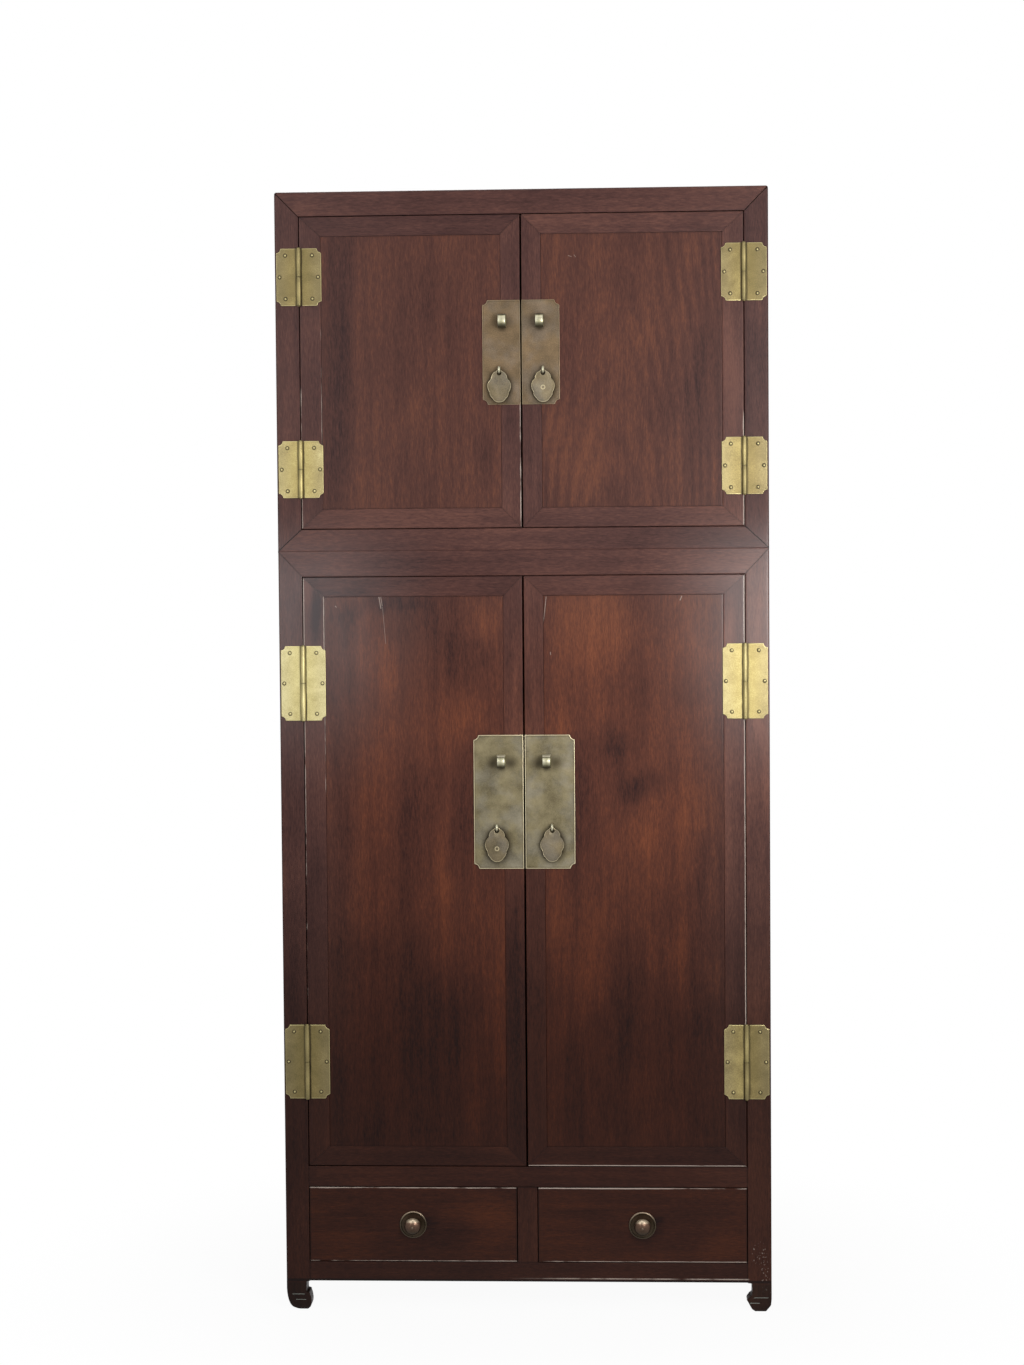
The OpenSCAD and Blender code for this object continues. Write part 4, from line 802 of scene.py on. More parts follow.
class CABINET_OT_posts(bpy.types.Operator):
    """Make the eight posts, the lower four with their hoof feet"""

    bl_idname = "cabinet.posts"
    bl_label = "Posts"

    def execute(self, context):
        sizes = context.scene.cabinet_case
        frame_wood = wood_finishes()["frame_wood"]
        low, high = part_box("lower_posts")
        middle, top = (corner.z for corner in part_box("upper_posts"))
        cabinet, chest = Shape(), Shape()
        for face, y, back in (("front", low.y, 1), ("back", high.y, -1)):
            for side, x, across in (("left", low.x, 1), ("right", high.x, -1)):
                corner = np.array((x, y, across, back), float)
                cuts = [post_cut(rise, sizes.post, corner[:2], crown) for rise, crown in (
                    (sizes.top_rail, 0.0), (sizes.chest_base, 0.0),
                    (sizes.chest_top, sizes.crown))]
                add_post(cabinet, f"lower {face} {side}", corner, 0.0, middle,
                         (None, cuts[0]), sizes, FOOT_LEFT if side == "left" else FOOT_RIGHT)
                add_post(chest, f"upper {face} {side}", corner, middle, top, cuts[1:], sizes)
        cabinet.build("cabinet_posts", "lower_cabinet", frame_wood, "dark_wood", "lower_posts")
        chest.build("chest_posts", "upper_chest", frame_wood, "dark_wood", "upper_posts")
        return {"FINISHED"}


class CABINET_OT_frames(bpy.types.Operator):
    """Make the mitred frames on top of the cabinet and at both ends of the chest"""

    bl_idname = "cabinet.frames"
    bl_label = "Mitred frames"

    def execute(self, context):
        sizes = context.scene.cabinet_case
        post, lip = sizes.post, sizes.lip
        frame_wood = wood_finishes()["frame_wood"]
        rows = (("lower_top_frame", "lower_cabinet", sizes.top_rail, True, 0.0),
                ("upper_top_frame", "upper_chest", sizes.chest_top, True, sizes.crown),
                ("upper_base_frame", "upper_chest", sizes.chest_base, False, 0.0))
        for node, body, rise, outer_up, crown in rows:
            low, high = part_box(node)
            z0, z1 = (high.z - rise, high.z) if outer_up else (low.z, low.z + rise)
            shape = Shape()
            for axis, letter in enumerate("xy"):
                for side in (-1, 1):
                    box = np.array([[low.x, low.y, z0], [high.x, high.y, z1]])
                    own = int(side > 0)
                    box[1 - own, 1 - axis] = box[own, 1 - axis] - side * post
                    frame_member(shape, axis, side, box, outer_up, f"{node} {side} {letter}",
                                 sizes, crown)
            stop = (z0 - lip, z0 + 0.001) if outer_up else (z1 - 0.001, z1 + lip)
            member(shape, 0, [low.x + post, low.y + sizes.lip_setback, stop[0]],
                   [high.x - post, low.y + post, stop[1]], log=cut_from(node + " lip"))
            shape.build(node.replace("_frame", "_mitred_frame"), body, frame_wood,
                        "dark_wood", node)
        return {"FINISHED"}


class CABINET_OT_rails(bpy.types.Operator):
    """Make the rails between the lower posts and the upright between the drawers"""

    bl_idname = "cabinet.rails"
    bl_label = "Rails"

    def execute(self, context):
        sizes = context.scene.cabinet_case
        frame_wood = wood_finishes()["frame_wood"]
        low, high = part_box("lower_posts")
        post, gap = sizes.post, sizes.joint
        x0, x1 = low.x + post + gap, high.x - post - gap
        y0, y1 = low.y + post, high.y - post
        base = sizes.leg + sizes.base_rail
        drawer = base + sizes.drawer_opening
        sill = drawer + sizes.sill_rail
        top = sill + sizes.back_rail_rise
        half = sizes.divider / 2
        shapes = {name: Shape() for name in ("front", "side", "back")}

        def rail(part, axis, name, start, end, **looks):
            member(shapes[part], axis, start, end, tone=tone_of(name), log=cut_from(name),
                   **looks)

        for z0, z1, chamfer, rubbed in ((sizes.leg, base, 0.0045, 0.0),
                                        (drawer, sill, 0.0014, 0.35)):
            rail("front", 0, f"front{z0:.3f}", [x0, low.y, z0], [x1, y0, z1],
                 radii=(chamfer, EASED, EASED, EASED), worn=(rubbed, 0.2, 0.2, 0.35))
            rail("back", 0, f"back{z0:.3f}", [x0, y1, z0], [x1, high.y, z1])
            for side, a, b in (("l", low.x, low.x + post), ("r", high.x - post, high.x)):
                rail("side", 1, f"{side}{z0:.3f}", [a, y0 + gap, z0], [b, y1 - gap, z1])
        member(shapes["front"], 0, [x0, low.y + sizes.lip_setback, sill - 0.001],
               [x1, y0, sill + sizes.lip], log=cut_from("sill lip"))
        rail("front", 2, "divider", [-half, low.y, base + gap], [half, y0, drawer - gap],
             worn=(0.5, 0.5, 0.1, 0.1))
        rail("back", 0, "back mid", [x0, y1, top - sizes.back_rail], [x1, high.y, top])
        for part, shape in shapes.items():
            shape.build(f"cabinet_{part}_rails", "lower_cabinet", frame_wood, "dark_wood",
                        f"lower_{part}_rails")
        return {"FINISHED"}


class CABINET_OT_boards(bpy.types.Operator):
    """Give the side panels, backs, boards, shelves and runners their woods"""

    bl_idname = "cabinet.boards"
    bl_label = "Panels and boards"

    def execute(self, context):
        woods = wood_finishes()
        rows = {
            "side_panel_wood": ("lower_side_panels", "upper_side_panels"),
            "plain_wood_x": ("lower_top_board", "lower_floor", "lower_shelf",
                             "upper_top_and_floor_boards", "upper_shelf"),
            "plain_wood_z": ("lower_back_panels", "upper_back_panel"),
            "plain_wood_y": ("drawer_runners", "left_drawer_box", "left_drawer_bottom",
                             "right_drawer_box", "right_drawer_bottom"),
        }
        for finish, nodes in rows.items():
            for node in nodes:
                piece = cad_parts[node]
                piece.data.materials.clear()
                piece.data.materials.append(woods[finish])
        return {"FINISHED"}


DOOR_EDGE_WEAR_AND_GLINT = {  # per door: paleness of its left, right, lower and upper edges, and the inner edges of its left and right stiles; partly rubbing, partly a painted highlight where edges catch the light
    # of its left and right stiles
    "upper_left": (((1.50, 1.15), (1.76, 1.10), (1.80, 0.2), (2.09, 0.2)),
                   ((1.49, 0.9), (1.52, 1.3), (1.74, 1.25), (1.78, 0.3), (2.09, 0.3)),
                   0.55, 0.3,
                   ((1.50, 0.3), (1.62, 0.5), (1.66, 0.95), (1.90, 0.95), (1.94, 0.3)), 0.1),
    "upper_right": (0.35, ((1.49, 1.15), (1.70, 1.2), (1.74, 0.4), (2.09, 0.5)), 0.75, 0.3,
                    0.2, 0.3),
    "lower_left": (((0.28, 0.4), (0.55, 0.6), (0.62, 1.05), (1.10, 1.15), (1.40, 1.35)), 0.4,
                   0.5, 0.35,
                   ((0.28, 0.2), (0.90, 0.4), (1.00, 1.0), (1.13, 1.05), (1.20, 0.7),
                    (1.26, 1.15), (1.37, 1.25)), 0.1),
    "lower_right": (0.55, ((0.28, 0.55), (0.50, 0.9), (0.70, 1.1), (1.40, 1.25)), 1.35, 0.3,
                    0.3, 0.5),
}
DOOR_TONES = {  # per door: its left and right stiles, lower and upper rails
    "upper_left": (0.0, 0.0, 0.5, -1.4), "upper_right": (-0.2, 0.6, 0.3, 0.9),
    "lower_left": (-0.3, -0.2, -0.3, -0.9), "lower_right": (0.1, 0.1, 0.0, 0.0)}


def stile_widths(sizes, leaf):
    """Widths of the left and the right stile of a door."""
    widths = (sizes.hinge_stile, sizes.meeting_stile)
    return widths if leaf.endswith("left") else widths[::-1]


class CABINET_OT_door_frames(bpy.types.Operator):
    """Make the mitred frames of the four doors"""

    bl_idname = "cabinet.door_frames"
    bl_label = "Door frames"

    def execute(self, context):
        sizes = context.scene.cabinet_doors
        gap = context.scene.cabinet_case.joint
        eased, rail, crisp, unworn = sizes.eased, sizes.rail, 0.0007, 0.1
        frame_wood = wood_finishes()["frame_wood"]
        for leaf in LEAVES:
            low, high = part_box(f"{leaf}_door_frame")
            back = low.y + sizes.thickness
            wide = stile_widths(sizes, leaf)
            tones = DOOR_TONES[leaf]
            left, right, lower, upper, inner_left, inner_right = DOOR_EDGE_WEAR_AND_GLINT[leaf]
            places = np.linspace(low.z + 0.05, high.z - 0.05, 40).tolist()
            shape = Shape()
            stiles = ((low.x, low.x, (eased, crisp), (left, inner_left)),
                      (high.x, high.x - wide[1], (crisp, eased), (inner_right, right)))
            for side, (outer, x0, radii, worn) in enumerate(stiles):
                cut = mitre(gap, (0, outer, rail / wide[side]))
                member(shape, 2, [x0, low.y, low.z], [x0 + wide[side], back, high.z],
                       (*radii, EASED, EASED), (*worn, unworn, unworn), cut, cut, tones[side],
                       cut_from(f"{leaf}{side}"), places, seams=(0.5, 0.5))
            rails = ((low.z, low.z, (eased, crisp), (lower, 0.3)),
                     (high.z, high.z - rail, (crisp, eased), (0.3, upper)))
            for side, (outer, z0, radii, worn) in enumerate(rails):
                start, end = (mitre(gap, (1, outer, width / rail)) for width in wide)
                member(shape, 0, [low.x, low.y, z0], [high.x, back, z0 + rail],
                       (radii[0], EASED, EASED, radii[1]), (worn[0], unworn, unworn, worn[1]),
                       start, end, tones[2 + side], cut_from(f"{leaf}r{side}"),
                       seams=(0.5, 0.5))
            shape.build(f"{leaf}_stiles_and_rails", f"{leaf}_door", frame_wood, "dark_wood",
                        f"{leaf}_door_frame")
        return {"FINISHED"}


PANELS = {  # pith across and through, tilt, ring spacing, figure, streaks, blotches
    "upper_left": ((-0.200, -0.170), 0.050, 0.0080, 0.05, 0.30, 0.45),
    "upper_right": ((0.166, -0.111), 0.150, 0.0153, 0.16, 0.25, 0.50),
    "lower_left": ((-0.200, -0.200), 0.050, 0.0090, 0.06, 0.45, 0.95),
    "lower_right": ((0.200, -0.200), 0.050, 0.0090, 0.06, 0.45, 0.95),
}
# Some patches are painted light and shade: the dark strips along the stiles and under the lower
# left door's top rail are painted shade beside the frames, and the light patches high on the lower
# right panel are painted light of the key lamp
PANEL_PATCHES_LIGHT_AND_SHADE = {  # per panel: centre, reach, and how much lighter or darker
    "upper_left": (((-0.352, 1.80), (0.050, 0.50), -0.34), ((-0.215, 1.70), (0.040, 0.12), 0.12),
                   ((-0.290, 1.62), (0.090, 0.14), 0.10), ((-0.070, 1.63), (0.040, 0.09), -0.18),
                   ((-0.180, 1.92), (0.060, 0.12), -0.10)),
    "upper_right": (((0.170, 1.93), (0.050, 0.20), 0.07), ((0.120, 1.63), (0.100, 0.14), 0.14),
                    ((0.345, 1.80), (0.050, 0.32), -0.24), ((0.260, 1.72), (0.050, 0.20), -0.08),
                    ((0.310, 2.00), (0.025, 0.07), 0.16)),
    "lower_left": (((-0.362, 1.00), (0.035, 0.80), -0.22), ((-0.108, 1.25), (0.075, 0.12), -0.34),
                   ((-0.275, 1.350), (0.13, 0.030), -0.26), ((-0.270, 1.24), (0.035, 0.10), 0.20),
                   ((-0.062, 1.325), (0.040, 0.06), 0.22), ((-0.092, 1.13), (0.045, 0.07), 0.16),
                   ((-0.200, 0.96), (0.070, 0.16), -0.20), ((-0.150, 0.86), (0.030, 0.30), 0.20),
                   ((-0.240, 0.55), (0.090, 0.12), -0.14), ((-0.120, 0.55), (0.06, 0.20), -0.16),
                   ((-0.200, 1.33), (0.220, 0.14), -0.16), ((-0.105, 0.98), (0.060, 0.26), -0.20),
                   ((-0.220, 0.48), (0.240, 0.34), -0.26)),
    "lower_right": (((0.290, 1.20), (0.10, 0.30), 0.14), ((0.150, 1.28), (0.110, 0.16), 0.26),
                    ((0.175, 1.085), (0.060, 0.07), -0.32), ((0.229, 1.015), (0.060, 0.05), -0.32),
                    ((0.300, 0.85), (0.040, 0.35), 0.12), ((0.120, 0.62), (0.060, 0.30), 0.12),
                    ((0.345, 0.70), (0.030, 0.45), -0.14), ((0.210, 0.72), (0.050, 0.25), -0.10),
                    ((0.115, 0.98), (0.050, 0.26), -0.28), ((0.220, 0.48), (0.240, 0.32), -0.20)),
}
SCRATCHES = (  # both ends, width, depth
    (-0.2740, 1.371, -0.2700, 1.347, 0.0013, 0.55), (-0.2705, 1.371, -0.2675, 1.352, 0.0009, 0.5),
    (-0.2670, 1.350, -0.2615, 1.280, 0.0006, 0.40),
    (0.0440, 1.367, 0.0405, 1.335, 0.0009, 0.55), (0.0405, 1.335, 0.0350, 1.300, 0.0008, 0.5),
    (0.3000, 1.366, 0.2970, 1.359, 0.0012, 0.6), (-0.3570, 1.352, -0.3550, 1.350, 0.0010, 0.6),
    (0.0900, 2.008, 0.0960, 2.006, 0.0007, 0.5), (0.1010, 2.009, 0.1040, 2.005, 0.0007, 0.45),
    (-0.0800, 1.512, -0.0640, 1.506, 0.0007, 0.5), (-0.0700, 1.514, -0.0500, 1.508, 0.0005, 0.4),
    (-0.0050, 0.812, -0.0040, 0.806, 0.0014, 0.7), (0.3890, 1.358, 0.4020, 1.318, 0.0006, 0.4),
    (0.3860, 1.345, 0.3950, 1.318, 0.0005, 0.35), (0.0513, 1.262, 0.0518, 1.257, 0.0009, 0.5),
)


DOOR_FRONT = (-0.2262, -0.2252)  # y where marks on the front of the doors fade out


def scratches(bench, tint, spot):
    """Thin pale scratches on the doors: the distance to each line from a to b is that to
    the point a + t (b - a), with t the share of the foot of the perpendicular, kept between
    0 and 1. The front keeps them off everything behind."""
    x, y, z = spot
    bite = bench.noise(bench.vector(x, 0.0, z), 900.0, 900.0) - 0.5
    lines = []
    for x0, z0, x1, z1, width, depth in SCRATCHES:
        run, rise = x1 - x0, z1 - z0
        long = run * run + rise * rise
        t = bench.math("ADD", ((x - x0) * run + (z - z0) * rise) / long, 0.0, clamp=True)
        away = bench.distance(x - x0 - t * run, z - z0 - t * rise)
        lines.append(bench.below(away + bite * width, width * 0.3, width) * depth)
    return bench.mix(bench.most(*lines) * bench.below(y, *DOOR_FRONT), tint,
                     bpy.context.scene.cabinet_wood.worn)


BATTENS = {"upper": (0.22, 0.8), "lower": (0.14, 0.46, 0.82)}  # shares of a panel's height


class CABINET_OT_door_panels(bpy.types.Operator):
    """Make the panels of the four doors, each with its own figure, and their battens"""

    bl_idname = "cabinet.door_panels"
    bl_label = "Door panels"

    def execute(self, context):
        sizes = context.scene.cabinet_doors
        tints = context.scene.cabinet_wood
        half, play = sizes.batten / 2, sizes.play
        for leaf in LEAVES:
            low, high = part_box(f"{leaf}_door_frame")
            left, right = stile_widths(sizes, leaf)
            x0, x1 = low.x + left + play, high.x - right - play
            z0, z1 = low.z + sizes.rail + play, high.z - sizes.rail - play
            face = low.y + sizes.recess
            back = face + sizes.panel
            pith, tilt, spacing, figure, streaks, blotches = PANELS[leaf]
            material = wood(f"{leaf}_panel_wood", tints.red, tints.warm, pith=pith, tilt=tilt,
                            spacing=spacing, figure=figure, streaks=streaks,
                            blotches=blotches, patches=PANEL_PATCHES_LIGHT_AND_SHADE[leaf], marks=scratches)
            shape = Shape()
            member(shape, 2, [x0, face, z0], [x1, back, z1], (0.0006,) * 4, (0.3, 0.3, 0, 0),
                   log=((x0 + x1) / 2, 0.0, -(z0 + z1) / 2), seams=(0.3, 0.3))
            for share in BATTENS[leaf.split("_")[0]]:
                z = z0 + share * (z1 - z0)
                member(shape, 0, [x0, back - 0.001, z - half],
                       [x1, back + sizes.batten_height, z + half],
                       log=cut_from(f"{leaf}{share}"))
            shape.build(f"{leaf}_figured_panel", f"{leaf}_door", material, "red_wood",
                        f"{leaf}_door_panel")
        return {"FINISHED"}


DRAWER_PATCHES = [  # centre, reach, and how much lighter or darker
    ((-0.080, 0.175), (0.100, 0.060), 0.30), ((-0.360, 0.120), (0.080, 0.040), 0.18),
    ((-0.330, 0.190), (0.100, 0.020), -0.22), ((-0.170, 0.130), (0.100, 0.015), -0.20),
    ((0.110, 0.190), (0.110, 0.022), -0.30), ((0.300, 0.178), (0.130, 0.028), -0.22),
    ((0.180, 0.110), (0.160, 0.028), 0.14), ((0.370, 0.120), (0.060, 0.030), 0.18),
]


class CABINET_OT_drawer_fronts(bpy.types.Operator):
    """Make the fronts of the two drawers"""

    bl_idname = "cabinet.drawer_fronts"
    bl_label = "Drawer fronts"

    def execute(self, context):
        tints = context.scene.cabinet_wood
        # Painted shadow of each rose on its drawer front, a little below and to the right of it
        rose_shadows = []
        for side in SIDES:
            low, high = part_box(f"{side}_drawer_rose")
            x, z = (low.x + high.x) / 2 + 0.004, (low.z + high.z) / 2 - 0.006
            rose_shadows.append(((x, z), (0.044, 0.042), -0.45))
        material = wood("drawer_front_wood", tints.red, tints.warm, figure=0.05, streaks=0.5,
                        blotches=0.7, pith=(0.05, -0.06), patches=rose_shadows + DRAWER_PATCHES)
        clear = 5e-5
        for side in SIDES:
            low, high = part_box(f"{side}_drawer_front")
            shape = Shape()
            member(shape, 0, [low.x + clear, low.y, low.z],
                   [high.x - clear, high.y - clear, high.z],
                   # The top and bottom arrises are painted pale along their whole width: partly
                   # rubbing, partly a painted highlight where the edges catch the light
                   (0.0012, 0.0008, 0.0008, 0.0012), (1.14, 0.2, 0.2, 1.20),
                   tone=tone_of(side + " drawer", 0.15) - 0.1,
                   log=cut_from(side + "drawer", 0.02))
            shape.build(f"{side}_drawer_face", f"{side}_drawer", material, "red_wood",
                        f"{side}_drawer_front")
        return {"FINISHED"}


# The brass


def torus(shape, rings, log, finish):
    """Adds rings of points as a closed skin whose last ring meets its first."""
    shape.skin(*(np.concatenate([grid, grid[:1]]) for grid in (rings, log, finish)))


def placed(local, origin, sign):
    """From (across, up, out) of a flat piece to the world: x = x0 + sign u, y = y0 - h and
    z = z0 + v."""
    u, v, h = np.moveaxis(local, -1, 0)
    return np.array(origin) + np.stack([sign * u, -h, v], axis=-1)


def sheet(shape, outline, height, bevel, middle, origin, sign, rim=0.0, step=0.0, tone=0.0):
    """Flat piece with rounded front edges and, if it has a rim, a face sunk by a step
    inside it. Rings run from the middle of the back round the edge to the middle of the
    front; outline(i) is the edge moved inwards by i, and shares draw it to the middle."""
    rows = [(0.0, 0.0, 0.0, 0.0), (0.0, 0.5, 0.0, 0.0), (0.0, 1.0, 0.0, 0.0),
            (0.0, 1.0, height - bevel, 1.0), (0.3 * bevel, 1.0, height - 0.3 * bevel, 1.0),
            (bevel, 1.0, height, 1.0)]
    if rim:
        rows += [(rim - 0.0004, 1.0, height, 1.0), (rim, 1.0, height - step, -0.4),
                 (rim + 0.0008, 1.0, height - step, -0.4)]
    inset, top = (rim + 0.0012, height - step) if rim else (bevel, height)
    rows += [(inset, share, top, 0.0) for share in (0.985, 0.7, 0.35, 0.0)]
    local, finish = [], []
    for inset, share, out, mark in rows:
        ring = outline(inset)
        flat = middle + share * (ring - middle)
        local.append(np.column_stack([flat, np.full(len(flat), out)]))
        finish.append(np.tile([max(mark, 0.0), max(-mark, 0.0), tone], (len(flat), 1)))
    local = np.array(local)
    log = local + np.array(origin) * 3 + [sign * 0.7, 0, 0]
    shape.skin(placed(local, origin, sign), log, np.array(finish))


def scooped(width, height, scoop, shoulder, left):
    """Outline of a leaf or plate as a function of how far it lies inside the true edge.
    The two corners on the right are cut by circles about them, of radius scoop + inset.
    A shoulder of radius q meets the edge and the circle: its centre is at distance
    inset + q from the edge and scoop + inset + q from the corner. left(inset) gives the
    points of the left edge from the top down."""
    def outline(inset):
        reach = scoop + inset
        q = max(shoulder - inset, 0.0002)
        near = inset + q
        far = math.sqrt((reach + q) ** 2 - near ** 2)
        lean = math.degrees(math.atan2(near, far))
        first = arc((far, near), q, 270, 180 + lean, 5)
        middle = arc((0, 0), reach, lean, 90 - lean, 12)[1:-1]
        run = np.concatenate([first, middle, first[::-1, ::-1]])
        low = np.array([width, 0]) + run * [-1, 1]
        high = np.array([width, height]) - run[::-1]
        return np.concatenate([low, high, np.array(left(inset))])
    return outline


def facing(shape, outline, centre, steps, finish=((0, 0),), **looks):
    """Turns an outline about an axis that points out of the front, to -Y."""
    revolve(shape, outline, centre, Matrix.Rotation(math.radians(90), 3, "X"), steps, finish,
            **looks)


PIN_LINE = 0.4192  # how far the hinges' pins stand from the middle
LEAF_FRONT = (-0.2306, -0.2300)  # y where the painted shade on the leaves fades in towards the case


def barrel_shade(bench, spot):
    """Painted shade on the leaves along both sides of the barrels, thinner towards the case."""
    x, y, z = spot
    away = bench.size(x) - PIN_LINE
    ragged = bench.noise(bench.vector(x, y, z), 40.0, 40.0, 3.0)
    near = bench.below(bench.size(away) - ragged * 0.003, 0.0036, 0.0066)
    return near * bench.between(y, *LEAF_FRONT) * (0.9 - bench.between(away, 0.0, 0.001) * 0.25)


def hinge_grey(bench, spot):
    """How grey the leaves are: golden beside the barrels, greyer at the far edges."""
    away = bench.size(bench.size(spot[0]) - PIN_LINE)
    return bench.between(away, 0.010, 0.040) * 0.16


RING_RADIUS = 0.0036
RING_FALLS = {"upper_right": 0.034, "lower_left": 0.041}  # from the tops of these drops


def struck_rings(bench, spot):
    """Small pale rings struck into two of the drops."""
    rings = []
    for leaf, fall in RING_FALLS.items():
        low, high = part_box(f"{leaf}_pull_drop")
        away = bench.distance(spot[0] - (low.x + high.x) / 2, spot[2] - (high.z - fall))
        rings.append(bench.below(bench.size(away - RING_RADIUS), 0.0004, 0.0011))
    return bench.most(*rings) * 0.75


def rose_shade(bench, spot):
    """Painted shade on the lower parts of the roses, leaving a light arc at the top."""
    low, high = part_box("left_drawer_rose")
    rise = spot[2] - (low.z + high.z) / 2
    flat = bench.between(spot[1], high.y - 0.0052, high.y - 0.0046)
    return bench.below(rise, 0.004, 0.022) * flat * 0.85


PLATE_SHADOWS = (  # painted shadow round what stands on the plates: distance across, height, reaches and depth
    (0.0352, 1.884, 0.030, 0.024, 0.6), (0.0352, 1.875, 0.016, 0.012, 0.9),
    (0.026, 1.052, 0.024, 0.020, 0.8), (0.060, 1.052, 0.024, 0.020, 0.75),
    (0.043, 1.044, 0.015, 0.012, 0.9), (0.0413, 1.795, 0.007, 0.012, 0.8),
    (0.0525, 0.930, 0.007, 0.012, 0.8))


def plate_shadows(bench, spot):
    """Painted shadow on the plates behind the drops and round the staples and eyes."""
    places = list(PLATE_SHADOWS)
    for level in LEVELS:
        low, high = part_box(f"{level}_right_pull_drop")
        middle, half = (low + high) / 2, (high - low) / 2
        places.append((middle.x, middle.z - 0.001, half.x * 1.55, half.z * 1.42, 2.6))
    across = (bench.size(spot[0]), 0.0, spot[2])
    return bench.most(*(
        bench.math("MINIMUM", patch(bench, across, 0.0, (x, z), (wide, tall)) * depth, 0.85)
        for x, z, wide, tall, depth in places))


def brass_finishes():
    """The brass and bronze of the fittings, made once."""
    tints = bpy.context.scene.cabinet_metal
    film_and_shade, bronze = tints.patina_and_shade, tints.bronze
    known = bpy.data.materials
    if "hinge_brass" in known:
        return known
    brass("hinge_brass", mottle=0.50, edge=0.55, cool=0.0, painted_shade=barrel_shade,
          greying=hinge_grey)
    brass("upper_plate_brass", level=0.40, mottle=0.55, edge=0.85, cool=0.35,
          painted_shade=plate_shadows, grounds=(film_and_shade, (0.095, 0.066, 0.036), tints.brown,
                                    (0.26, 0.195, 0.115), (0.42, 0.33, 0.20)))
    brass("lower_plate_brass", level=0.45, mottle=0.90, edge=0.7, cool=0.45,
          painted_shade=plate_shadows, grounds=(film_and_shade, (0.105, 0.085, 0.045), tints.green,
                                    (0.27, 0.225, 0.130), (0.56, 0.48, 0.31)))
    brass("loop_brass", level=0.55, mottle=0.2, metal=0.75, edge=0.6, cool=0.0,
          grounds=(film_and_shade, (0.10, 0.09, 0.04), (0.22, 0.205, 0.11), (0.36, 0.33, 0.19),
                   (0.80, 0.77, 0.62)))
    brass("drop_brass", level=0.43, mottle=0.6, gloss=0.36, edge=0.55, cool=0.45,
          shines=struck_rings, grounds=(film_and_shade, (0.095, 0.076, 0.044), (0.19, 0.150, 0.088),
                                        (0.31, 0.25, 0.145), (0.56, 0.48, 0.30)))
    brass("knob_bronze", level=0.37, mottle=0.4, gloss=0.30, edge=0.6, cool=0.1,
          painted_shade=rose_shade, grounds=(film_and_shade, blend(bronze, BLACK, 0.55), bronze,
                                      tints.copper, (0.85, 0.72, 0.52)))
    return known


HINGE_HEIGHTS = {"upper": 0.1075, "lower": 0.142}
HOMES = {"upper": "upper_chest", "lower": "lower_cabinet"}  # the bodies that doors hang on
# The hinges are lightened near 1.3 to 1.6 m as a painted reflection of the lamps there
HINGE_TONES_AND_REFLECTION = {  # per level and hinge from the lowest up: left, right
    "upper": ((0.20, 0.04), (-0.03, -0.02)), "lower": ((-0.06, 0.03), (0.40, 0.24))}
LEAF_TONES = {"left": (0.00, 0.00), "right": (-0.06, 0.03)}  # of the post's and the door's leaf
NAIL_DOME = (  # of a nail head, its painted highlight and the painted shade round it: radius over its own, height, finish
    (0, 0.0014, (0.9, 0)), (0.3, 0.0014, (0.9, 0)), (0.52, 0.0012, (0.7, 0)),
    (0.68, 0.0008, (0.2, 0.2)), (0.8, 0.0003, (0, 1)), (1, 0.0002, (0, 1)),
    (1.3, 0.00012, (0, 0.8)), (1.45, 0.00004, (0, 0)), (1.45, -0.0001, (0, 0)),
    (0, -0.0001, (0, 0)))
NAIL_INSET, NAIL_END = 0.017, 0.013  # of the corner nails from the far edge and the ends
MIDDLE_NAIL_INSET = 0.006


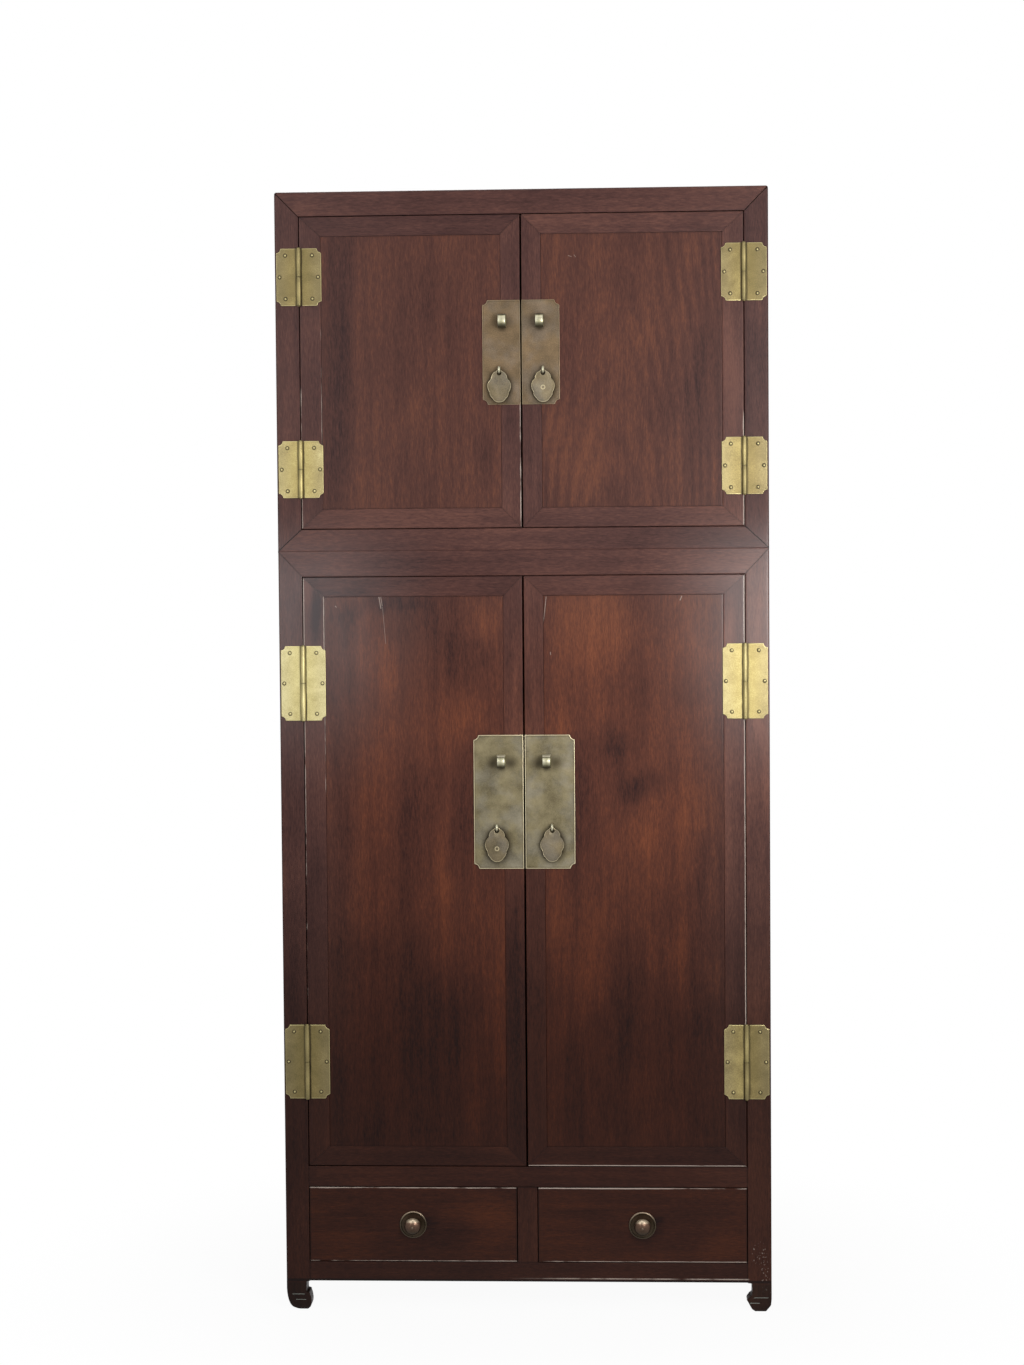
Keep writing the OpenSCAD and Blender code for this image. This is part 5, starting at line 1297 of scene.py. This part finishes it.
class CABINET_OT_hinges(bpy.types.Operator):
    """Make the leaves, knuckles, nails and pins of the eight hinges"""

    bl_idname = "cabinet.hinges"
    bl_label = "Hinges"

    def execute(self, context):
        sizes = context.scene.cabinet_brass
        hinge_brass = brass_finishes()["hinge_brass"]
        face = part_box("lower_posts")[0].y
        for level, height in HINGE_HEIGHTS.items():
            pin_low, pin_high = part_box(f"{level}_hinge_pins")
            ends = (pin_low.z + sizes.button, pin_high.z - sizes.button - height)
            low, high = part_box(f"{level}_left_door_leaves")
            axis_x, axis_y = low.x + sizes.barrel, low.y + sizes.barrel
            size = (high.x - axis_x, height)
            fixed, pins = Shape(), Shape()
            for part, (side, sign) in enumerate((("left", 1), ("right", -1))):
                post, door = LEAF_TONES[side]
                moving = Shape()
                for z, tones in zip(ends, HINGE_TONES_AND_REFLECTION[level]):
                    origin = (axis_x * sign, face, z)
                    tone = tones[part]
                    self.leaf(fixed, sizes, size, origin, -sign, True, axis_y, tone + post)
                    self.leaf(moving, sizes, size, origin, sign, False, axis_y, tone + door)
                    self.pin(pins, sizes, height, (axis_x * sign, axis_y, z))
                moving.build(f"{level}_{side}_moving_leaves", f"{level}_{side}_door",
                             hinge_brass, "brass", f"{level}_{side}_door_leaves")
            fixed.build(f"{level}_fixed_leaves", HOMES[level], hinge_brass, "brass",
                        f"{level}_fixed_hinge_leaves")
            pins.build(f"{level}_pins", HOMES[level], hinge_brass, "brass",
                       f"{level}_hinge_pins")
        return {"FINISHED"}

    def leaf(self, shape, sizes, size, origin, sign, knuckle_low, axis_y, tone):
        """One leaf with its knuckle and three nails, seen from the pin."""
        width, height = size
        half = (height - sizes.knuckle_gap) / 2
        clear = sizes.barrel + sizes.knuckle_clear
        z0, z1 = (0.0, half) if knuckle_low else (height - half, height)

        def left(inset):
            edge = [(clear + inset, height - inset), (clear + inset, half - inset),
                    (0.0, half - inset), (0.0, inset)]
            return edge if knuckle_low else [(u, height - v) for u, v in edge[::-1]]
        outline = scooped(width, height, sizes.leaf_scoop, sizes.shoulder, left)
        heart = np.array([width / 2, height * (0.44 if knuckle_low else 0.56)])
        sheet(shape, outline, sizes.leaf, 0.0005, heart, origin, sign, tone=tone)
        r, e = sizes.barrel, 0.0004
        knuckle = [(0, z0), (r - e, z0), (r, z0 + e), (r, (z0 + z1) / 2), (r, z1 - e),
                   (r - e, z1), (0, z1)]
        marks = [(0, 1), (0, 1), (0.3, 0.5), (0.3, 0), (0.3, 0.5), (0, 1), (0, 1)]
        revolve(shape, knuckle, (origin[0], axis_y, origin[2]), Matrix.Identity(3), 28, marks,
                tone + 0.05, origin)
        dome = [(share * sizes.nail_head, out) for share, out, _ in NAIL_DOME]
        for u, v in ((width - NAIL_INSET, NAIL_END), (width - MIDDLE_NAIL_INSET, height / 2),
                     (width - NAIL_INSET, height - NAIL_END)):
            centre = (origin[0] + sign * u, origin[1] - sizes.leaf, origin[2] + v)
            facing(shape, dome, centre, 20, [row[2] for row in NAIL_DOME], tone=tone,
                   apart=centre)

    def pin(self, shape, sizes, height, origin):
        """A pin with a button at each end."""
        r, button, e, t = sizes.pin, sizes.pin_head, 0.0004, sizes.button
        end = [(0, t), (button - 2 * e, t), (button - e / 2, t - e), (button, t - 2 * e),
               (button, 0.0001), (r, 0.0001)]
        outline = [(reach, -out) for reach, out in end]
        outline += [(reach, height + out) for reach, out in end[::-1]]
        marks = [(0.4, 0)] * 4 + [(0, 1)] * 4 + [(0.6, 0)] * 4
        revolve(shape, outline, origin, Matrix.Identity(3), 24, marks)


class CABINET_OT_lock_plates(bpy.types.Operator):
    """Make the four lock plates with their raised rims"""

    bl_idname = "cabinet.lock_plates"
    bl_label = "Lock plates"

    def execute(self, context):
        sizes = context.scene.cabinet_brass
        metals = brass_finishes()
        for leaf in LEAVES:
            level, side = leaf.split("_")
            low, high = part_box(f"{leaf}_lock_plate")
            start, sign = (high.x, -1) if side == "left" else (low.x, 1)
            width, height = high.x - low.x, high.z - low.z
            rim, step, tone, glint = {
                "upper": (sizes.rim / 1.6, 0.0001, -0.02, 0.4),
                "lower": (sizes.rim, 0.0004, 0.0, 1.0)}[level]
            outline = scooped(
                width, height, sizes.plate_scoop, sizes.shoulder,
                lambda inset, top=height: [(inset, top - inset), (inset, inset)])
            shape = Shape()
            sheet(shape, outline, high.y - low.y, 0.0004, np.array([width, height]) / 2,
                  (start, high.y, low.z), sign, rim, step, tone)
            shape.finish[-1][:, 0] *= glint
            shape.build(f"{leaf}_rimmed_plate", f"{leaf}_door", metals[f"{level}_plate_brass"],
                        "brass", f"{leaf}_lock_plate")
        return {"FINISHED"}


STAPLE_BEND_SHADING = (  # degrees up from the front, and painted shade on the strap there; below 0, a painted highlight
    ((-180, -60, -38, -26, -18, 10, 45, 52, 60, 90, 180),
     (0.9, 0.9, 0.85, 0.5, 0, -0.35, -0.1, 0.5, 0.95, 0.9, 0.9)),
    ((-180, -60, -38, -28, -20, 0, 30, 36, 44, 50, 100, 130, 180),
     (0.9, 0.9, 0.85, 0.5, 0, -0.35, -0.1, 0.9, 0.8, -0.9, -0.9, 0, 0.4)))
STRAP_CORNERS = (69.6, 290.4, 38.66, 321.34)  # degrees where the straps turn into the plates
STRAP_TAPER = 0.13  # how much narrower a strap is at its front


def clinch(shape, sizes, x, half, back, low, high):
    """The ends of a tang, bent over behind a door."""
    member(shape, 2, [x - half, back - sizes.clinch, low], [x + half, back, high],
           (0.0004,) * 4, (0.2,) * 4)


class CABINET_OT_staples(bpy.types.Operator):
    """Make the four padlock staples, with their tangs through the doors"""

    bl_idname = "cabinet.staples"
    bl_label = "Lock staples"

    def execute(self, context):
        sizes = context.scene.cabinet_brass
        loop_brass = brass_finishes()["loop_brass"]
        bore, neck, e, tang = sizes.staple_bore, sizes.staple_neck / 2, 0.0007, 0.0025
        angle = np.unique(np.radians(np.concatenate([
            np.linspace(0, 360, 60, endpoint=False), STRAP_CORNERS])))
        ring = np.stack([np.cos(angle), np.sin(angle)], axis=-1)
        inward = np.maximum(ring[:, 0], 0.05)
        for leaf in LEAVES:
            low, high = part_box(f"{leaf}_lock_staple")
            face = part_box(f"{leaf}_lock_plate")[0].y
            middle = np.array(
                ((low.x + high.x) / 2, low.y + sizes.staple, (low.z + high.z) / 2))
            half = (high.x - low.x) / 2
            strap = np.minimum((face - middle[1]) / inward,
                               neck / np.maximum(np.abs(ring[:, 1]), 1e-6))
            outer = np.maximum(sizes.staple, np.where(ring[:, 0] > 0.05, strap, 0))
            # place across, radius and rim of each ring, outside and then in the hole
            side = ((-half, outer - e, 1), (-half + e * 0.3, outer - 0.3 * e, 1),
                    (-half + e, outer, 1))
            rows = [*side, (0, outer, 0.2), *((-x, r, mark) for x, r, mark in side[::-1]),
                    (half, bore + e, 0), (half - e, bore, 0), (0, bore, 0),
                    (-half + e, bore, 0), (-half, bore + e, 0)]
            points = np.zeros((len(rows), len(ring), 3))
            finish = np.zeros(points.shape)
            for row, (x, radius, mark) in enumerate(rows):
                flat = ring * np.reshape(radius, (-1, 1))
                narrow = 1 - STRAP_TAPER * np.clip(-flat[:, 0] / sizes.staple, 0, 1)
                points[row] = np.column_stack([x * narrow, flat])
                finish[row, :, 0] = mark
            lean = np.degrees(np.arctan2(ring[:, 1], -ring[:, 0]))
            bend_shading = np.interp(lean, *STAPLE_BEND_SHADING[leaf.startswith("lower")])
            # Painted shade on the parts of the strap turned from the light, and a painted
            # highlight where it faces the light
            finish[:7, :, 1] = np.maximum(bend_shading, 0)
            finish[:7, :, 0] = finish[:7, :, 0] * 0.4 + np.maximum(-bend_shading, 0)
            shape = Shape()
            torus(shape, points + middle, points + middle * APART, finish)
            x, _, z = middle
            member(shape, 1, [x - tang, face - 0.0005, z - 0.003],
                   [x + tang, high.y, z + 0.003], (0.0003,) * 4, (0,) * 4)
            clinch(shape, sizes, x, tang, high.y, low.z, high.z)
            shape.build(f"{leaf}_staple", f"{leaf}_door", loop_brass, "brass",
                        f"{leaf}_lock_staple")
        return {"FINISHED"}


DROP_LOBES = (  # as shares of half the width and of the length, and the bulge of each arc
    (0.69, 0.28, 0.16), (0.81, 0.70, 0.21), (0.56, 0.885, 0.12), (0.0, 1.0, 0.15))


def drop_outline(width, length, boss):
    """Half outline of a drop from its top: an arc round the hole, then lobes. A lobe from p
    to q has the points p + t (q - p) + 4 b t (1 - t) n, with n the chord turned left."""
    run = [arc((0, -boss), boss, 90, 30, 7)]
    p = run[0][-1]
    for u, v, bulge in DROP_LOBES:
        q = np.array([u * width / 2, -v * length])
        t = np.linspace(0, 1, 9)[1:, None]
        chord = q - p
        run.append(p + t * chord + 4 * bulge * t * (1 - t) * np.array([-chord[1], chord[0]]))
        p = q
    return np.concatenate(run)


class CABINET_OT_pulls(bpy.types.Operator):
    """Make the four pull eyes and the lobed drops that swing on them"""

    bl_idname = "cabinet.pulls"
    bl_label = "Pulls"

    def execute(self, context):
        sizes = context.scene.cabinet_brass
        metals = brass_finishes()
        for leaf in LEAVES:
            self.eye(leaf, sizes, metals["loop_brass"])
            self.drop(leaf, sizes, metals["drop_brass"])
        return {"FINISHED"}

    def eye(self, leaf, sizes, material):
        """A ring seen edge-on, its shank and the ends clinched behind the panel."""
        low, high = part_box(f"{leaf}_pull_eye")
        wire, ring, r = sizes.eye_wire, sizes.eye_wire + sizes.eye_opening, sizes.eye_shank
        centre = ((low.x + high.x) / 2, low.y + ring + wire, (low.z + high.z) / 2)
        shape = Shape()
        section = arc((ring, 0), wire, 0, 360, 17)
        revolve(shape, section, centre, Matrix.Rotation(math.radians(90), 3, "Y"), 32,
                [(0.6, 0)] * len(section), apart=centre)
        start = centre[1] + ring
        depth = high.y - start
        facing(shape, [(0, 0), (r, 0), (r, -depth + 0.0004), (r - 0.0003, -depth), (0, -depth)],
               (centre[0], start, centre[2]), 16)
        clinch(shape, sizes, centre[0], r, high.y, low.z, high.z)
        shape.build(f"{leaf}_eye", f"{leaf}_door", material, "brass", f"{leaf}_pull_eye")

    def drop(self, leaf, sizes, material):
        """A lobed leaf: rings between its hole and its outline, on the front and the back."""
        low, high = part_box(f"{leaf}_pull_drop")
        hole = sizes.drop_hole
        boss = hole + sizes.drop_bridge
        half = drop_outline(sizes.drop_width, high.z - low.z, boss)
        outward = np.concatenate([half, half[-2:0:-1] * [-1, 1]]) + [0, boss]
        away = outward / np.linalg.norm(outward, axis=1, keepdims=True)
        thick, e, tone = (high.y - low.y) / 2, 0.0005, tone_of(leaf, 0.06)
        # share of the way from the hole to the edge, step outwards, front, rim and hollow;
        # the rim is a painted highlight on the front edge, the hollow painted shade on the side
        # walls and in the hole
        rows = [(1.0, 0.0, 0.0, 0, 0.9), (1.0, -0.3 * e, thick - 0.35 * e, 0, 0.7),
                (1.0, -e, thick, 1, 0), (1.0, -2.6 * e, thick - 0.0001, 0.6, 0),
                (1.0, -3.6 * e, thick - 0.0001, 0, 0.35), (0.8, 0.0, thick - 0.00015, 0, 0),
                (0.5, 0.0, thick - 0.0002, 0, 0), (0.2, 0.0, thick - 0.0001, 0, 0.1),
                (0.0, 0.9 * e, thick, 0.3, 0.3), (0.0, 0.2 * e, thick - 0.3 * e, 0.3, 0.5),
                (0.0, 0.0, 0.0, 0, 1), (0.0, 0.2 * e, -thick + 0.3 * e, 0, 0),
                (0.0, 0.9 * e, -thick, 0, 0), (0.5, 0.0, -thick, 0, 0), (1.0, -e, -thick, 0, 0),
                (1.0, -0.3 * e, -thick + 0.35 * e, 0, 0.9)]
        local, finish = [], []
        for share, shift, out, mark, film_and_shade in rows:
            flat = away * hole + share * (outward - away * hole) + shift * away
            local.append(np.column_stack([flat - [0, boss], np.full(len(flat), out)]))
            finish.append(np.tile([mark, film_and_shade, tone], (len(flat), 1)))
        local = np.array(local)
        origin = np.array(((low.x + high.x) / 2, (low.y + high.y) / 2, high.z))
        shape = Shape()
        torus(shape, placed(local, origin, 1), local + origin * APART, np.array(finish))
        shape.build(f"{leaf}_lobed_drop", f"{leaf}_drop", material, "brass",
                    f"{leaf}_pull_drop")


class CABINET_OT_knobs(bpy.types.Operator):
    """Make the drawers' dished roses and turned knobs"""

    bl_idname = "cabinet.knobs"
    bl_label = "Knobs"

    def execute(self, context):
        sizes = context.scene.cabinet_brass
        knob_bronze = brass_finishes()["knob_bronze"]
        for side in SIDES:
            low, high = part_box(f"{side}_drawer_rose")
            centre = ((low.x + high.x) / 2, high.y, (low.z + high.z) / 2)
            for piece, make in (("rose", self.rose), ("knob", self.knob)):
                shape = Shape()
                make(shape, sizes, centre)
                word = {"rose": "dished", "knob": "turned"}[piece]
                shape.build(f"{side}_{word}_{piece}", f"{side}_drawer", knob_bronze, "bronze",
                            f"{side}_drawer_{piece}")
        return {"FINISHED"}

    def rose(self, shape, sizes, centre):
        """A dish with a bead round its rim and a hole for the knob's spindle."""
        r, t, rim, dish = sizes.rose, sizes.rose_height, sizes.rose_rim / 2, sizes.rose_dish
        hole = 0.0031
        bead = arc((r - rim, t - rim), rim, 0, 180, 13).tolist()
        outline = [(hole, 0.0), (r - rim, 0.0), (r, 0.0006), *bead,
                   (r - 2 * rim - 0.0006, dish + 0.0003), (r - 2 * rim - 0.002, dish),
                   (0.014, dish - 0.0002), (hole, dish), (hole, 0.0)]
        marks = [(0, 1), (0, 1), (0.0, 0.8)] + [(0.35, 0.0)] * len(bead) + \
            [(0, 1), (0, 0.7), (0, 0.25), (0, 1), (0, 1)]
        facing(shape, outline, centre, 64, marks)

    def knob(self, shape, sizes, centre):
        """A spindle, a collar and a neck, a head of two half ellipses with a fine groove
        round its face, and a nipple; a painted highlight above and painted shade below."""
        seat, top, n = sizes.rose_dish + 0.0001, sizes.knob_length, sizes.nipple
        middle = top - sizes.nipple_out - sizes.knob_front
        head = []
        for degrees in range(-70, 85, 6):
            a = math.radians(degrees)
            lift = sizes.knob_front if degrees > 0 else sizes.knob_back
            radius = sizes.knob * math.cos(a)
            groove = 0.00035 * math.exp(-((radius - 0.0105) / 0.0007) ** 2)
            out = middle + lift * math.sin(a) - (groove if degrees > 20 else 0)
            head.append((radius, out))
        nipple = arc((0, top - n), n, 18, 90, 7).tolist()
        outline = [(0, -0.014), (0.003, -0.0138), (0.003, seat), (0.010, seat),
                   (0.010, seat + 0.0024), (0.0094, seat + 0.003), (0.0074, seat + 0.0032),
                   (0.007, seat + 0.0045), (0.007, middle - 0.0085), *head,
                   (n + 0.0002, top - n + 0.0007), *nipple]
        marks = [(0, 0)] * 3 + [(0.3, 0)] * 3 + [(0, 0.7)] * 3 + \
            [(0, 0)] * len(head) + [(0, 0.5)] + [(0.12, 0)] * len(nipple)
        facing(shape, outline, centre, 64, marks)
        points, finish = shape.points[-1], shape.finish[-1]
        up = (points[:, 2] - centre[2]) / sizes.knob
        ahead = points[:, 1] < centre[1] - middle
        # Painted highlight on the top of the head and painted shade on its lower half, as if lit
        # from above
        finish[:, 0] += 0.9 * ahead * np.clip((up - 0.50) / 0.25, 0, 1)
        finish[:, 2] += ahead * np.clip(0.28 * up - 0.10, -0.34, 0.06)


# The studio


WHITE = (1.0, 1.0, 1.0)
CAMERA_PLACE, CAMERA_LENS, SENSOR = (0.220, -5.2275, 1.434), 92.92, 36.0
CAMERA_TURNS = (2.62, -2.77, -0.45)  # degrees downwards, to the right and about the view
LAMPS = (  # name, place, aim, size, power, tint
    ("key", (1.05, -2.25, 1.45), (0.35, -0.2, 1.20), (0.7, 0.8), 34, (1.0, 0.98, 0.96)),
    ("fill", (-1.0, -2.25, 1.60), (-0.25, -0.2, 1.50), (0.5, 0.8), 5, (0.99, 0.99, 1.0)),
    ("high key", (1.25, -1.9, 2.35), (0.0, -0.2, 1.70), (0.9, 0.9), 8, WHITE),
    ("high fill", (-1.25, -1.9, 2.35), (0.0, -0.2, 1.70), (0.9, 0.9), 8, WHITE),
    ("top", (0.0, -0.8, 3.4), (0.0, 0.0, 1.8), (1.4, 1.4), 8, WHITE),
    ("back", (-0.6, 2.4, 2.9), (0.0, 0.2, 1.2), (1.2, 1.2), 26, WHITE),
)
FLOOR_HALF = 9.0
PAPER = (0.80, 0.80, 0.80)
PAPER_GLOW = (0.95, 1.0)  # how much of what is seen of the floor glows, near and far
AMBIENT = 0.15  # the world's light on the object, where 1 is what the camera sees of it


def staged(name, data):
    """An object of the studio."""
    item = bpy.data.objects.new(name, data)
    bpy.context.scene.collection.objects.link(item)
    return item


class CABINET_OT_stage(bpy.types.Operator):
    """Place the camera, the lamps and the pale floor"""

    bl_idname = "cabinet.stage"
    bl_label = "Studio"

    def execute(self, context):
        scene = context.scene
        self.camera(scene)
        for lamp in LAMPS:
            self.softbox(*lamp)
        self.floor()
        world = Bench(bpy.data.worlds.new("studio"))
        scene.world = world.close(world.node("ShaderNodeBackground", None, {
            "Color": WHITE, "Strength": world.seen() * (1.0 - AMBIENT) + AMBIENT}),
            "ShaderNodeOutputWorld")
        scene.view_settings.view_transform = "Standard"
        return {"FINISHED"}

    def camera(self, scene):
        """The camera, turned by its three angles."""
        pitch, yaw, roll = (math.radians(a) for a in CAMERA_TURNS)
        forward = Vector((math.sin(yaw) * math.cos(pitch), math.cos(yaw) * math.cos(pitch),
                          -math.sin(pitch)))
        level = Vector((math.cos(yaw), -math.sin(yaw), 0))
        right = level * math.cos(roll) + level.cross(forward) * math.sin(roll)
        turn = Matrix((right, right.cross(forward), -forward)).transposed().to_4x4()
        data = bpy.data.cameras.new("camera")
        data.sensor_fit = "HORIZONTAL"
        data.sensor_width, data.lens = SENSOR, CAMERA_LENS
        scene.camera = staged("camera", data)
        scene.camera.matrix_world = Matrix.Translation(CAMERA_PLACE) @ turn

    def softbox(self, name, place, aim, size, power, tint):
        """Square lamp at a place, turned to a point."""
        light = bpy.data.lights.new(name, "AREA")
        light.shape = "RECTANGLE"
        light.size, light.size_y = size
        light.energy, light.color = power, tint
        lamp = staged(name, light)
        lamp.location = place
        lamp.rotation_euler = (Vector(aim) - Vector(place)).to_track_quat("-Z", "Y").to_euler()

    def floor(self):
        """The paper under the object, which glows white where it is seen."""
        mesh = bpy.data.meshes.new("floor")
        edge = FLOOR_HALF
        mesh.from_pydata([(-edge, -edge, 0), (edge, -edge, 0), (edge, edge, 0),
                          (-edge, edge, 0)], [], [(0, 1, 2, 3)])
        bench = Bench(bpy.data.materials.new("floor_paper"))
        paper = bench.node("ShaderNodeBsdfDiffuse", None, {"Color": PAPER})
        glow = bench.node("ShaderNodeEmission", None, {"Color": WHITE})
        x, y, _ = bench.parts(bench.place())
        near, far = PAPER_GLOW
        share = bench.between(bench.distance(x, y), 0.35, 1.2) * (far - near) + near
        mesh.materials.append(bench.close(bench.node("ShaderNodeMixShader", None, {
            0: bench.seen() * share, 1: paper, 2: glow})))
        staged("floor", mesh)


STEPS = (
    CABINET_OT_posts, CABINET_OT_frames, CABINET_OT_rails, CABINET_OT_boards,
    CABINET_OT_door_frames, CABINET_OT_door_panels, CABINET_OT_drawer_fronts, CABINET_OT_hinges,
    CABINET_OT_lock_plates, CABINET_OT_staples, CABINET_OT_pulls, CABINET_OT_knobs,
    CABINET_OT_stage,
)


class CABINET_PT_settings(bpy.types.Panel):
    """The cabinet's settings and steps"""

    bl_idname = "CABINET_PT_settings"
    bl_label = "Cabinet"
    bl_space_type = "VIEW_3D"
    bl_region_type = "UI"
    bl_category = "Cabinet"

    def draw(self, context):
        for name, group in GROUPS:
            box = self.layout.box()
            box.label(text=group.__doc__)
            settings = getattr(context.scene, name)
            for key in group.__annotations__:
                box.prop(settings, key)
        for step in STEPS:
            self.layout.operator(step.bl_idname)


def register():
    for _, group in GROUPS:
        bpy.utils.register_class(group)
    for name, group in GROUPS:
        setattr(bpy.types.Scene, name, bpy.props.PointerProperty(type=group))
    for item in (*STEPS, CABINET_PT_settings):
        bpy.utils.register_class(item)


def unregister():
    for item in (CABINET_PT_settings, *reversed(STEPS)):
        bpy.utils.unregister_class(item)
    for name, group in reversed(GROUPS):
        delattr(bpy.types.Scene, name)
        bpy.utils.unregister_class(group)


def main():
    """Builds every piece in turn."""
    register()
    for step in STEPS:
        getattr(bpy.ops.cabinet, step.bl_idname.split(".")[1])()


if __name__ == "__main__":
    main()
